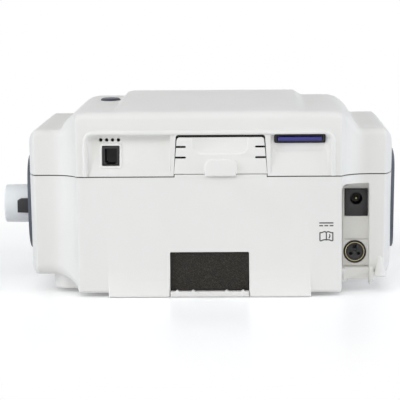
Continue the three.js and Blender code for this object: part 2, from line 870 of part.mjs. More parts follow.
function nicheOutline(grow) {
  return outline(nicheLeft - grow, nicheFoot - grow, nicheRight + grow, nicheTop + grow,
    [0, 0, 0, nicheCorner + grow]);
}

const boardRearY = rearY + boardRearInset;
const boardPostPlaces = [-1, 1].flatMap((side) => [boardPostInset, boardDepth - boardPostInset]
  .map((inset) => [side * boardPostX, boardRearY + inset]));
const filterPocket = foamSetBack + foamThickness + fineThickness + seatGap * 2;

// The low land on the rear wall that the cover stands over, inside the opening of the bay
const coverLand = () => boxBetween(
  [bayLeft + coverSideGap + seatGap, rearY + rearLean, partingHeight - wallThickness],
  [bayRight - coverSideGap - seatGap, rearY + wallThickness, coverLandTop],
);

function lowerHousing() {
  const baseTop = wingLift + wallThickness * 2;
  const outer = join(overlap(outerForm, belowParting()), baseBlock(0, tableGap, baseTop));
  const upToParting = boxBetween([-everything, -everything, -everything],
    [everything, everything, partingHeight + overrun]);
  const inner = join(overlap(innerForm, upToParting),
    baseBlock(wallThickness, floorHeight, baseTop + overrun));
  const wellPosts = everyPlace(screwPlaces, (x, y) => rod('z', floorHeight - wallThickness / 2, lowerPostTop,
    screwWellRadius + postWall, [x, y], smallCircleSteps));
  const boardPosts = everyPlace(boardPostPlaces, (x, y) => rod('z', floorHeight - wallThickness / 2,
    boardHeight - seatGap, boardPostRadius, [x, y], smallCircleSteps));
  const shell = join(cut(outer, inner), footPanel(), dropBoss(), coverLand(), ...wellPosts, ...boardPosts);
  const wells = everyPlace(screwPlaces, (x, y) => rod('z', -overrun, screwSeat, screwWellRadius, [x, y],
    smallCircleSteps));
  const shanks = everyPlace(screwPlaces, (x, y) => rod('z', -overrun, lowerPostTop + overrun,
    screwShankRadius + screwClearance, [x, y], smallCircleSteps));
  const feet = everyPlace(footPlaces, (x, y) => rod('z', -overrun, tableGap + footRecess,
    footRadius + seatGap, [x, y]));
  const filterHole = boxBetween([-filterHalfWidth, rearY - overrun, -overrun],
    [filterHalfWidth, rearY + filterPocket, filterTop]);
  const niche = plateAlongY(nicheOutline(0), rearY - overrun, rearY + nicheDepth + overrun);
  return cut(shell, ...wells, ...shanks, ...feet, filterHole, niche, outletRoom(),
    controlOpening());
}

// The foot panel: it comes out of the rear wall in a hollow curve and stands proud at the table
function footPanel() {
  const foot = tableGap / 2 - standHeight;
  const back = rearY + wallThickness / 2;
  return loft(footPanelShares.map((share) => {
    const height = mix(foot, footPanelHeight, share);
    const stand = footPanelFlare * (1 - share) ** 2;
    const wall = rearY + rearLean * (height - tableGap) / (blockHeight - tableGap);
    const face = wall + footPanelSink * share - stand;
    const edge = face + stand * footPanelEdgeShare;
    const right = [[footPanelHalfWidth, back], [footPanelHalfWidth, edge],
      [footPanelHalfWidth - footPanelSide, face]];
    const left = right.map(([x, y]) => [-x, y]).reverse();
    return [...right, ...left].map(([x, y]) => new THREE.Vector3(x, y, height));
  }));
}

// The teardrop boss: a half round foot that runs up to a point
function dropBoss() {
  const rings = dropHeightShares.map((share) => {
    const narrowing = Math.sqrt(1 - share);
    const height = mix(dropFoot, dropTop, share);
    const wingY = rearY + stepDepth;
    const front = Array.from({ length: dropSteps + 1 }, (_, index) => {
      const angle = Math.PI * index / dropSteps;
      return new THREE.Vector3(dropCentreX + Math.cos(angle) * dropRadius * narrowing,
        wingY - Math.sin(angle) * dropStand * narrowing, height);
    });
    const back = [-1, 1].map((side) => new THREE.Vector3(dropCentreX + side * dropRadius * narrowing,
      wingY + wallThickness, height));
    return [...front, ...back];
  });
  return loft(rings);
}

// A dark oval panel that follows the barrel of the side; the left one lets the outlet through
function sidePanel(side) {
  const ring = (x, share) => Array.from({ length: panelSteps }, (_, index) => {
    const angle = Math.PI * 2 * index / panelSteps;
    const power = 2 / panelPower;
    const round = (value) => Math.sign(value) * Math.abs(value) ** power;
    return new THREE.Vector3(side * x, panelHalfDepth * share * round(Math.cos(angle)),
      panelCentreHeight + panelHeight / 2 * share * round(Math.sin(angle)));
  });
  const rim = wingHalfWidth + panelStand;
  const oval = loft([ring(wingHalfWidth - wingRoundWidth, 1), ring(rim - panelStand * 2, 1),
    ring(rim + panelStand, panelRimShare)]);
  const panel = cut(overlap(panelForm, oval), panelSeat);
  return side < 0 ? cut(panel, outletRoom()) : panel;
}
const panelForm = bodyForm(-panelStand);
const panelSeat = bodyForm(-seatGap);

// The air outlet: a flange inside the wall, a slightly tapered 22 mm cone and a through bore
const outletFlangeX = (wingHalfWidth - wallThickness) * taperAt(outletHeight - outletFlangeRadius)
  - seatGap - outletFlangeThickness;

function outletPort() {
  const length = outletReach - outletFlangeX;
  const root = outletRadius + length * outletTaperShare / 2;
  const profile = [
    [outletBore, 0], [outletFlangeRadius, 0], [outletFlangeRadius, outletFlangeThickness],
    [root, outletFlangeThickness], [outletRadius, length - outletEdge],
    [outletRadius - outletEdge / 3, length - outletEdge / 3], [outletRadius - outletEdge, length],
    [outletBore, length], [outletBore, 0],
  ];
  return turned(profile, outletSteps).rotateZ(Math.PI / 2).translate(-outletFlangeX, outletY, outletHeight);
}

// The black block that stands beside the outlet
function outletStop() {
  const root = -wingHalfWidth - panelStand - seatGap;
  const half = stopHeight / 2;
  const shape = new THREE.Shape();
  shape.moveTo(root, outletHeight - half);
  shape.lineTo(root, outletHeight + half);
  shape.lineTo(root - stopLength * (1 - stopChamferShare), outletHeight + half * stopTopShares[0]);
  shape.lineTo(root - stopLength, outletHeight + half * stopTopShares[1]);
  shape.lineTo(root - stopLength, outletHeight - half * stopFootShare);
  const front = outletY - outletRadius - stopStand;
  return cut(plateAlongY(shape, front, outletY - outletBore), outletRoom());
}

// The accessory cover: a trapezoid plate with side slots, a relief and a finger tab
const coverFaceY = rearY + coverSetBack;

function accessoryCover() {
  const plate = plateAlongY(coverShape(0, 0, coverFoot), coverFaceY, coverFaceY + coverThickness);
  const tabShape = (foot) => outline(coverCentreX - coverTabWidth / 2, foot, coverCentreX + coverTabWidth / 2,
    coverTabTop, [0, 0, coverTabCorner, coverTabCorner]);
  const tabFace = rearY - seatGap - coverTabThickness;
  const tab = join(
    plateAlongY(tabShape(coverTabFoot), tabFace, rearY - seatGap),
    plateAlongY(tabShape(coverFoot), tabFace + coverTabThickness / 2, coverFaceY + coverThickness / 2),
  );
  const slots = coverSlotHeights.flatMap((height) => [-1, 1].map((side) => {
    const edge = coverCentreX + side * coverFootWidth / 2;
    const inner = coverCentreX + side * (coverTopWidth / 2 - coverSlotLength + coverSideGap);
    return boxBetween([Math.min(edge, inner), coverFaceY - overrun, height - coverSlotHeight / 2],
      [Math.max(edge, inner), coverFaceY + overrun, height + coverSlotHeight / 2]);
  }));
  const relief = plateAlongY(outline(coverCentreX - coverReliefWidth / 2, coverReliefFoot,
    coverCentreX + coverReliefWidth / 2, recessTop, [coverReliefCorner, coverReliefCorner, 0, 0]),
    coverFaceY - overrun, coverFaceY + coverReliefDepth);
  return join(cut(plate, ...slots, relief), tab);
}

// The open box behind the cover, with its connector at the back
function accessoryBay() {
  const half = coverTopWidth / 2 - seatGap;
  const front = coverFaceY + coverThickness + seatGap;
  const foot = boardHeight + boardThickness + seatGap;
  const top = recessTop - seatGap;
  const box = boxBetween([coverCentreX - half, front, foot], [coverCentreX + half, front + bayDepth, top]);
  const hollow = boxBetween([coverCentreX - half + bayWall, front - overrun, foot + bayWall],
    [coverCentreX + half - bayWall, front + bayDepth - bayWall, top - bayWall]);
  const back = front + bayDepth - bayWall;
  const plug = boxBetween(
    [coverCentreX - bayConnectorLength / 2, back - bayConnectorDepth, foot + bayWall / 2],
    [coverCentreX + bayConnectorLength / 2, back + bayWall / 2, foot + bayWall + bayConnectorHeight],
  );
  return join(cut(box, hollow), plug);
}

// The network jack: a nose in the frame, a body on the board and a stepped cavity
function networkJack() {
  const front = recessFloorY(jackTop) + jackSetBack;
  const body = recessFloorY(jackTop) + wallThickness + seatGap * 2;
  const foot = boardHeight + boardThickness + seatGap;
  const half = jackWidth / 2;
  const nose = boxBetween([jackCentreX - half, front, jackFoot],
    [jackCentreX + half, body + overrun, jackTop]);
  const block = boxBetween([jackCentreX - half - jackWall, body, foot],
    [jackCentreX + half + jackWall, body + jackDepth, jackTop]);
  const cavity = boxBetween([jackCentreX - half + jackWall, front - overrun, jackFoot + jackWall],
    [jackCentreX + half - jackWall, front + jackCavityDepth, jackTop - jackWall]);
  const notch = boxBetween([jackCentreX - jackNotchWidth / 2, front - overrun, jackFoot + jackWall / 3],
    [jackCentreX + jackNotchWidth / 2, front + jackCavityDepth, jackFoot + jackWall * 2]);
  return cut(join(nose, block), cavity, notch);
}

function speaker() {
  const profile = [[0, 0], [speakerRadius, 0], [speakerRadius, speakerThickness * speakerMagnetShare],
    [speakerRadius * speakerMagnetShare, speakerThickness], [0, speakerThickness]];
  return turned(profile, outletSteps / 2).translate(jackCentreX, backingY + seatGap, speakerHeight);
}

// The memory card, its reader and the bracket that lifts the reader off the board
const cardRearY = recessFloorY(cardHeight) - cardProud;

function dataCard() {
  const half = cardWidth / 2;
  const shape = new THREE.Shape();
  shape.moveTo(cardCentreX - half, cardRearY);
  shape.lineTo(cardCentreX + half, cardRearY);
  shape.lineTo(cardCentreX + half, cardRearY + cardLength - cardCorner);
  shape.lineTo(cardCentreX + half - cardCorner, cardRearY + cardLength);
  shape.lineTo(cardCentreX - half, cardRearY + cardLength);
  return plateAlongZ(shape, cardHeight - cardThickness / 2, cardHeight + cardThickness / 2);
}

const readerFoot = cardHeight - readerHeight / 2;

function cardReader() {
  const nose = recessFloorY(cardHeight) + readerSetBack;
  const body = backingY + seatGap;
  const half = slotWidth / 2 - seatGap;
  const lip = slotHeight / 2 - seatGap;
  const outside = join(
    boxBetween([cardCentreX - half, nose, cardHeight - lip],
      [cardCentreX + half, body + overrun, cardHeight + lip]),
    boxBetween([cardCentreX - readerWidth / 2, body, readerFoot],
      [cardCentreX + readerWidth / 2, body + readerDepth, readerFoot + readerHeight]),
  );
  const room = boxBetween(
    [cardCentreX - cardWidth / 2 - seatGap, nose - overrun, cardHeight - cardThickness / 2 - seatGap],
    [cardCentreX + cardWidth / 2 + seatGap, cardRearY + cardLength + seatGap,
      cardHeight + cardThickness / 2 + seatGap],
  );
  return cut(outside, room);
}

function cardBracket() {
  const foot = boardHeight + boardThickness + seatGap;
  const top = readerFoot - seatGap;
  const front = backingY + bracketInset;
  const left = cardCentreX - readerWidth / 2 + bracketInset;
  const right = boardHalfWidth - bracketThickness;
  const depth = readerDepth - bracketInset * 2;
  const block = boxBetween([left, front, foot], [right, front + depth, top]);
  const room = boxBetween([left + bracketThickness, front - overrun, foot - overrun],
    [right - bracketThickness, front + depth + overrun, top - bracketThickness]);
  return cut(block, room);
}

// The pan that closes the niche, with a blank step, two panel lines and a ledge
const panFaceY = rearY + nicheDepth;

function connectorPanel() {
  const back = plateAlongY(nicheOutline(-seatGap), panFaceY - panDepth, panFaceY + panBack);
  const room = plateAlongY(nicheOutline(-seatGap - panWall), panFaceY - panDepth - overrun, panFaceY);
  const left = nicheLeft + seatGap + panWall / 2;
  const right = nicheRight - seatGap - panWall / 2;
  const step = boxBetween([left, panFaceY - stepStand, stepFoot + panLine],
    [right, panFaceY + panBack / 2, inletFoot - panLine]);
  const plinth = boxBetween([left, panFaceY - stepStand, ledgeTop + panLine],
    [right, panFaceY + panBack / 2, stepFoot - panLine]);
  const ledge = boxBetween([nicheLeft + seatGap, panFaceY - ledgeStand, nicheFoot + seatGap],
    [nicheRight - seatGap, panFaceY + overrun - seatGap, ledgeTop - panLine]);
  const pan = overlap(join(cut(back, room), step, plinth), outerForm);
  return cut(join(pan, ledge),
    boxBetween([inletLeft - seatGap, panFaceY - overrun, inletFoot - seatGap],
      [inletRight + seatGap, panFaceY + overrun, inletTop + seatGap]),
    rod('y', panFaceY - overrun, panFaceY + overrun, socketRingRadius + seatGap,
      [socketCentreX, socketHeight]));
}

const inletCentreX = (inletLeft + inletRight) / 2;
const inletFrontY = panFaceY - inletStand;

function dcInlet() {
  const block = boxBetween([inletLeft, inletFrontY, inletFoot],
    [inletRight, inletFrontY + inletDepth, inletTop]);
  return cut(block, rod('y', inletFrontY - overrun, inletFrontY + inletHoleDepth, inletHoleRadius,
    [inletCentreX, inletHoleHeight]));
}

function dcInletPin() {
  const foot = inletFrontY + inletHoleDepth - seatGap;
  return rod('y', foot - inletPinLength, foot, inletPinRadius, [inletCentreX, inletHoleHeight],
    smallCircleSteps);
}

function serialSocketRing() {
  const front = panFaceY - socketStand;
  const profile = [
    [socketRadius + seatGap, 0], [socketRingRadius, 0], [socketRingRadius, socketDepth / 2],
    [socketRadius + seatGap, socketDepth / 2], [socketRadius + seatGap, 0],
  ];
  return turned(profile).translate(socketCentreX, front, socketHeight);
}

function serialSocket() {
  const front = panFaceY - socketStand + seatGap;
  const well = rod('y', front - overrun, front + socketRecess, socketRadius - socketRimWidth,
    [socketCentreX, socketHeight]);
  const keyway = boxBetween([socketCentreX - socketPinRadius, front - overrun, socketHeight],
    [socketCentreX + socketPinRadius, front + socketRecess * 2,
      socketHeight + socketRadius - socketRimWidth / 3]);
  const holes = Array.from({ length: socketPinCount }, (_, index) => {
    const angle = Math.PI / 2 + Math.PI * 2 * index / socketPinCount;
    return rod('y', front, front + socketRecess + socketPinDepth, socketPinRadius,
      [socketCentreX + Math.cos(angle) * socketPinCircle, socketHeight + Math.sin(angle) * socketPinCircle],
      holeSteps);
  });
  return cut(rod('y', front, front + socketDepth, socketRadius, [socketCentreX, socketHeight]), well, keyway,
    ...holes);
}

// The two filters, the sill with its four bumps and the duct behind them
const filterFoot = sillHeight + seatGap;
const filterBox = (front, thickness) => boxBetween(
  [-filterHalfWidth + seatGap, front, filterFoot],
  [filterHalfWidth - seatGap, front + thickness, filterTop - seatGap],
);
const foamFrontY = rearY + foamSetBack;
const fineFrontY = foamFrontY + foamThickness + seatGap;

function filterSill() {
  const half = filterHalfWidth - seatGap;
  const strip = boxBetween([-half, rearY - footPanelFlare + sillSetBack, tableGap / 2 - standHeight],
    [half, rearY + filterPocket - seatGap, sillHeight]);
  const bumps = bumpPlaceShares.map((share) => rod('y', rearY - footPanelFlare + sillSetBack,
    foamFrontY - seatGap, bumpRadius, [share * filterHalfWidth, sillHeight], holeSteps));
  return join(strip, ...bumps);
}

function inletDuct() {
  const foot = floorHeight + seatGap;
  const half = filterHalfWidth + ductWall;
  const front = rearY + wallThickness + seatGap;
  const box = boxBetween([-half, front, foot], [half, rearY + ductDepth, filterTop + ductWall]);
  const mouth = boxBetween([-filterHalfWidth, front - overrun, -overrun],
    [filterHalfWidth, rearY + filterPocket, filterTop]);
  const way = boxBetween([-filterHalfWidth + ductWall, front - overrun, foot + ductWall],
    [filterHalfWidth - ductWall, rearY + ductDepth + overrun, filterTop - ductWall]);
  return cut(box, mouth, way);
}

// The start button: a crowned oval with a flange that holds it under the shell
const shoulderHeightAt = (y) => mix(blockHeight + shoulderRise, blockHeight + slopeTopRise,
  (y - spineCrestY) / (slopeTopY - spineCrestY));
const startSurface = shoulderHeightAt(startY);

function startButton() {
  const ring = (height, grow) => ovalPoints(startX, startY, startHalfWidth + grow, startHalfDepth + grow)
    .map((point) => new THREE.Vector3(point.x, point.y, height));
  const flangeTop = startSurface - wallThickness - seatGap * 2;
  return loft([
    ring(flangeTop - startFlangeThickness, startFlange), ring(flangeTop, startFlange), ring(flangeTop, 0),
    ring(startSurface + startProud / 2, 0), ring(startSurface + startProud * startCrownShare, -startProud),
    ring(startSurface + startProud, -startCrownInset),
  ]);
}

// The control panel and what it carries, in the slope's frame
const innerFace = -controlThickness;
const boardFace = -displayBoardSink;

function controlPanel() {
  const flange = boxBetween([-controlHalfWidth - controlFlange, -controlTop - controlFlange, innerFace],
    [controlHalfWidth + controlFlange, controlFoot + controlFlange, innerFace + controlFlangeThickness]);
  const plate = plateAlongZ(controlOutline(0), innerFace, 0);
  const pocket = plateAlongZ(lensOutline(lensGap), -lensThickness - seatGap, overrun);
  const window = plateAlongZ(lensOutline(-lensBorder), -overrun, overrun);
  const keyHoles = Object.values(keySteps).map((count) => plateAlongZ(
    keyOutline(count * keyPitch, keyClearance), -overrun, overrun));
  const pillars = pillarPlaces.map((place) => rod('z', boardFace + seatGap, innerFace / 2, pillarRadius,
    place, holeSteps));
  return cut(join(flange, plate, ...pillars), pocket, window, ...keyHoles,
    plateAlongZ(rockerOutline(keyClearance), -overrun, overrun));
}

function lensOutline(grow) {
  return outline(-lensWidth / 2 - grow, lensTop - grow, lensWidth / 2 + grow, lensFoot + grow,
    Math.max(lensCorner + grow, 0));
}

const pillarPlaces = [-1, 1].flatMap((side) => [
  [side * (displayBoardHalfWidth - pillarRadius), -displayBoardTop + pillarRadius],
  [side * keyPitch * pillarPitchShare, keyRowShift],
]);

const displayLens = () => plateAlongZ(lensOutline(0), -lensThickness, 0);

function displayModule() {
  const border = lensBorder - displayBorder;
  return boxBetween([-lensWidth / 2 + border, lensTop + border, boardFace + seatGap],
    [lensWidth / 2 - border, lensFoot - border, innerFace - seatGap]);
}

const displayBoard = () => boxBetween([-displayBoardHalfWidth, -displayBoardTop, boardFace - boardThickness],
  [displayBoardHalfWidth, displayBoardFoot, boardFace]);

function buttonMat() {
  const foot = boardFace + seatGap;
  const mat = boxBetween([-matWidth / 2, keyRowShift - matLength / 2, foot],
    [matWidth / 2, keyRowShift + matLength / 2, foot + matThickness]);
  const holes = pillarPlaces.filter(([, y]) => y > 0).map((place) => rod('z', foot - overrun, foot + overrun,
    pillarRadius + pillarHoleGap, place, holeSteps));
  return cut(mat, ...holes);
}

function key(count) {
  const x = count * keyPitch;
  const flangeTop = innerFace - seatGap;
  return join(
    plateAlongZ(keyOutline(x, 0), flangeTop - keyFlangeThickness, keyProud),
    boxBetween([x - keyHalfWidth - keyFlange, keyRowShift - keyHalfLength - keyFlange,
      flangeTop - keyFlangeThickness],
    [x + keyHalfWidth + keyFlange, keyRowShift + keyHalfLength + keyFlange, flangeTop]),
  );
}

function rocker() {
  const flangeTop = innerFace - seatGap;
  return join(
    plateAlongZ(rockerOutline(0), flangeTop - keyFlangeThickness, keyProud),
    boxBetween([-rockerHalfWidth - keyFlange, keyRowShift - rockerHalfLength - keyFlange / 2,
      flangeTop - keyFlangeThickness],
    [rockerHalfWidth + keyFlange, keyRowShift + rockerHalfLength + keyFlange / 2, flangeTop]),
  );
}

// Feet and screws
const rubberFoot = ([x, y]) => turned([
  [0, -standHeight], [footRadius - footEdge, -standHeight], [footRadius, footEdge - standHeight],
  [footRadius, tableGap + footRecess - seatGap], [0, tableGap + footRecess - seatGap],
], outletSteps / 2).rotateX(Math.PI / 2).translate(x, y, 0);

function housingScrew([x, y]) {
  const head = screwSeat - seatGap;
  const screw = join(rod('z', head - screwHeadHeight, head, screwHeadRadius, [x, y], smallCircleSteps),
    rod('z', head - screwHeadHeight / 2, head + screwLength, screwShankRadius, [x, y], smallCircleSteps));
  const [length, width] = [screwHeadRadius / 2, screwShankRadius / 4];
  const drive = boxBetween([x - length, y - width, head - screwHeadHeight - overrun],
    [x + length, y + width, head - screwHeadHeight / 2]);
  return cut(screw, drive);
}

// The blower: a scroll that widens towards its mouth, drawn about the shaft
const mouthCentre = outletY - blowerY;

function scrollOutline(inset, mouthX) {
  const half = scrollMouthHalfWidth - inset;
  const tongue = Math.PI + Math.asin(-(mouthCentre + half) / (scrollStart - inset));
  const shape = new THREE.Shape();
  shape.moveTo(mouthX - blowerX, mouthCentre + half);
  for (let step = 0; step <= scrollSteps; step += 1) {
    const share = step / scrollSteps;
    const angle = mix(tongue, -Math.PI / 2, share);
    const radius = mix(scrollStart, scrollEnd, share) - inset;
    shape.lineTo(Math.cos(angle) * radius, Math.sin(angle) * radius);
  }
  shape.lineTo(mouthX - blowerX, mouthCentre - half);
  return shape;
}

const atBlower = (geometry) => geometry.translate(blowerX, blowerY, 0);
const scrollTop = scrollFoot + scrollHeight;
const motorFoot = scrollFoot - motorHeight;
const mountTop = floorHeight + seatGap + mountFootHeight;
const mountPlaces = Array.from({ length: mountCount }, (_, index) => {
  const angle = Math.PI * 2 * index / mountCount;
  return [Math.cos(angle) * mountCircle, Math.sin(angle) * mountCircle];
});

function blowerBase() {
  const scroll = cut(
    atBlower(plateAlongZ(scrollOutline(0, scrollMouthX), scrollFoot, scrollTop - scrollLidThickness)),
    atBlower(plateAlongZ(scrollOutline(scrollWall, scrollMouthX + scrollWall), scrollFoot + scrollWall,
      scrollTop + overrun)),
  );
  const centre = [blowerX, blowerY];
  const cupFoot = mountTop + seatGap;
  const cup = rod('z', cupFoot, scrollFoot + scrollWall / 2, motorRadius + seatGap + motorCupWall, centre);
  const ears = mountPlaces.flatMap(([x, y]) => {
    const ear = rod('z', cupFoot, cupFoot + mountEarThickness, mountRadius, [x + blowerX, y + blowerY],
      smallCircleSteps);
    const arm = boxBetween([motorRadius, -mountRadius / 2, cupFoot], [mountCircle, mountRadius / 2,
      cupFoot + mountEarThickness]);
    return [ear, atBlower(arm.rotateZ(Math.atan2(y, x)))];
  });
  const collar = rod('x', scrollMouthX - collarLength, scrollMouthX + scrollWall / 2, collarRadius,
    [outletY, outletHeight]);
  return cut(join(scroll, cup, ...ears, collar),
    rod('z', motorFoot - seatGap, scrollFoot + scrollWall * 2, motorRadius + seatGap, centre),
    rod('x', scrollMouthX - collarLength - overrun, scrollMouthX + overrun, collarRadius - collarWall,
      [outletY, outletHeight]));
}

function blowerCover() {
  const foot = scrollTop - scrollLidThickness + seatGap;
  const lid = atBlower(plateAlongZ(scrollOutline(0, scrollMouthX), foot, foot + scrollLidThickness));
  const centre = [blowerX, blowerY];
  const rim = rod('z', foot, foot + scrollLidThickness * 2, scrollInletRadius + scrollWall, centre);
  return cut(join(lid, rim), rod('z', foot - overrun, foot + overrun * 2, scrollInletRadius, centre));
}

function blowerMount([x, y]) {
  const height = mountFootHeight;
  return turned([
    [0, 0], [mountRadius, 0], ...mountWaistShares.map((share) => [mountWaistRadius, height * share]),
    [mountRadius, height], [0, height],
  ], smallCircleSteps).rotateX(Math.PI / 2).translate(x + blowerX, y + blowerY, floorHeight + seatGap);
}

function motor() {
  const centre = [blowerX, blowerY];
  const body = rod('z', motorFoot, scrollFoot - seatGap, motorRadius, centre);
  return cut(body, rod('z', motorFoot - overrun, scrollFoot + overrun, shaftRadius + seatGap, centre,
    smallCircleSteps));
}

const impellerFoot = scrollFoot + scrollWall + impellerGap;

const motorShaft = () => rod('z', motorFoot + seatGap, impellerFoot + impellerHeight - seatGap, shaftRadius,
  [blowerX, blowerY], smallCircleSteps);

// Blades lean back from the hub to the rim, each a thin curved plate
function impeller() {
  const blade = new THREE.Shape();
  const edge = (side) => Array.from({ length: bladeSteps + 1 }, (_, index) => {
    const share = index / bladeSteps;
    const radius = mix(impellerHubRadius * bladeRootShare, impellerRadius - impellerPlate / 2, share);
    const angle = impellerSweep * share ** bladeSweepPower + side * impellerBladeThickness / 2 / radius;
    return new THREE.Vector2(Math.cos(angle) * radius, Math.sin(angle) * radius);
  });
  blade.setFromPoints([...edge(-1), ...edge(1).reverse()]);
  const blades = Array.from({ length: impellerBladeCount }, (_, index) => plateAlongZ(blade,
    impellerFoot + impellerPlate / 2, impellerFoot + impellerHeight * bladeHeightShare)
    .rotateZ(Math.PI * 2 * index / impellerBladeCount));
  const plate = rod('z', impellerFoot, impellerFoot + impellerPlate, impellerRadius, [0, 0], outletSteps);
  const top = impellerFoot + impellerHeight;
  const hub = rod('z', impellerFoot, top, impellerHubRadius, [0, 0], outletSteps / 2);
  const wheel = join(plate, hub, ...blades);
  const bore = rod('z', impellerFoot - overrun, top + overrun, shaftRadius + seatGap, [0, 0],
    smallCircleSteps);
  return atBlower(cut(wheel, bore));
}

// The folded coupling from the blower to the outlet, and the sensor on it
function outletCoupling() {
  const start = outletFlangeX - seatGap;
  const finish = -scrollMouthX + seatGap;
  const inner = collarRadius + seatGap;
  const outer = inner + couplingWall;
  const outside = [[outer, 0]];
  const inside = [[inner, 0]];
  for (let fold = 0; fold < couplingFoldCount; fold += 1) {
    const valley = couplingFoldStart + fold * couplingFoldPitch;
    const crest = valley + couplingFoldPitch / 2;
    outside.push([outer, valley], [outer + couplingFoldHeight, crest]);
    inside.push([inner, valley], [inner + couplingFoldHeight, crest]);
  }
  const foldEnd = couplingFoldStart + couplingFoldCount * couplingFoldPitch;
  outside.push([outer, foldEnd], [outer, start - finish]);
  inside.push([inner, foldEnd], [inner, start - finish]);
  return turned([...outside, ...inside.reverse(), outside[0]], outletSteps / 2)
    .rotateZ(-Math.PI / 2).translate(-start, outletY, outletHeight);
}

function flowSensor() {
  const right = scrollMouthX - collarLength;
  const foot = outletHeight + collarRadius + couplingWall + seatGap * 2;
  const body = boxBetween([right - sensorWidth, outletY - sensorDepth / 2, foot],
    [right, outletY + sensorDepth / 2, foot + sensorHeight]);
  const [plugRight, plugLeft] = sensorPlugShares.map((share) => right - sensorWidth * share);
  const plug = boxBetween([plugLeft, outletY - sensorDepth / 4, foot + sensorHeight / 2],
    [plugRight, outletY + sensorDepth / 4, foot + sensorHeight + sensorPlugHeight]);
  return join(body, plug);
}

// The main board with a few of its parts
function mainBoard() {
  const top = boardHeight + boardThickness;
  const board = boxBetween([-boardHalfWidth, boardRearY, boardHeight],
    [boardHalfWidth, boardRearY + boardDepth, top]);
  const parts = boardPartShares.map(([across, along, width, depth, height]) => {
    const x = mix(-boardHalfWidth, boardHalfWidth, across);
    const y = mix(boardRearY, boardRearY + boardDepth, along);
    return boxBetween([x, y, boardHeight + boardThickness / 2], [x + width * boardHalfWidth,
      y + depth * boardDepth, top + height * boardDepth]);
  });
  return join(board, ...parts);
}

// Finishes, as base colour, roughness and metalness
function finish(color, roughness, metalness = 0) {
  return new THREE.MeshStandardMaterial({ color, roughness, metalness });
}

const whiteShell = finish(0xe8e9e7, 0.45);
const darkPanel = finish(0x565d69, 0.4);
const blackPlastic = finish(0x17171a, 0.45);
const keyRubber = finish(0x5c6470, 0.6);
const footRubber = finish(0x2a2a2c, 0.85);
const brightMetal = finish(0xc9c9cc, 0.3, 1);
const brass = finish(0xcaa45a, 0.3, 1);
const cardBlue = finish(0x2a2f86, 0.4);
const glass = finish(0x1b1f24, 0.12);
const displayGrey = finish(0xaab3a8, 0.35);
const boardGreen = finish(0x1f5a3a, 0.55);
const filterFoam = finish(0x35302b, 0.95);
const filterWhite = finish(0xf0f0ec, 0.95);
const innerPlastic = finish(0xc9ccd0, 0.5);
const siliconeGrey = finish(0x9a9da2, 0.7);

// The machine: each piece is a named mesh
const machine = new THREE.Group();
function add(name, geometry, material, parent = machine) {
  const mesh = new THREE.Mesh(geometry, material);
  mesh.name = name;
  parent.add(mesh);
}

add('upper_housing', upperHousing(), whiteShell);
add('lower_housing', lowerHousing(), whiteShell);
add('left_side_panel', sidePanel(-1), darkPanel);
add('right_side_panel', sidePanel(1), darkPanel);
add('outlet_port', outletPort(), whiteShell);
add('outlet_stop', outletStop(), blackPlastic);
add('accessory_cover', accessoryCover(), whiteShell);
add('accessory_bay', accessoryBay(), blackPlastic);
add('network_jack', networkJack(), blackPlastic);
add('speaker', speaker(), blackPlastic);
add('data_card', dataCard(), cardBlue);
add('card_reader', cardReader(), blackPlastic);
add('card_bracket', cardBracket(), innerPlastic);
add('connector_panel', connectorPanel(), whiteShell);
add('dc_inlet', dcInlet(), blackPlastic);
add('dc_inlet_pin', dcInletPin(), brass);
add('serial_socket', serialSocket(), blackPlastic);
add('serial_socket_ring', serialSocketRing(), brightMetal);
add('foam_filter', filterBox(foamFrontY, foamThickness), filterFoam);
add('fine_filter', filterBox(fineFrontY, fineThickness), filterWhite);
add('filter_sill', filterSill(), whiteShell);
add('inlet_duct', inletDuct(), innerPlastic);
add('start_button', startButton(), keyRubber);

machine.add(slopeFrame);
add('control_panel', controlPanel(), darkPanel, slopeFrame);
add('display_lens', displayLens(), glass, slopeFrame);
add('display_module', displayModule(), displayGrey, slopeFrame);
add('display_board', displayBoard(), boardGreen, slopeFrame);
add('button_mat', buttonMat(), siliconeGrey, slopeFrame);
Object.entries(keySteps).forEach(([name, count]) => add(name, key(count), keyRubber, slopeFrame));
add('rocker_button', rocker(), keyRubber, slopeFrame);

footPlaces.forEach((place, index) => add(`rubber_foot_${index + 1}`, rubberFoot(place), footRubber));
screwPlaces.forEach((place, index) => add(`housing_screw_${index + 1}`, housingScrew(place), brightMetal));

add('blower_base', blowerBase(), innerPlastic);
add('blower_cover', blowerCover(), innerPlastic);
mountPlaces.forEach((place, index) => add(`blower_mount_${index + 1}`, blowerMount(place), footRubber));
add('motor', motor(), brightMetal);
add('motor_shaft', motorShaft(), brightMetal);
add('impeller', impeller(), innerPlastic);
add('outlet_coupling', outletCoupling(), siliconeGrey);
add('flow_sensor', flowSensor(), blackPlastic);
add('main_board', mainBoard(), boardGreen);

// The origin lies on the table under the middle of the whole machine
const middle = new THREE.Box3().setFromObject(machine).getCenter(new THREE.Vector3());
machine.position.set(-middle.x, -middle.y, standHeight);
const part = new THREE.Group();
part.add(machine);
part.updateMatrixWorld(true);

export default part;
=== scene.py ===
"""Looks of a bedside bilevel breathing machine, seen from its rear, on a white studio floor.

Every length is in millimetres in the machine's own frame: x across, y from the rear to the display,
z up. The frame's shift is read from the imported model, and pieces are scaled to metres when they are made.
"""
import json
import math

import bmesh
import bpy
from mathutils import Matrix, Vector


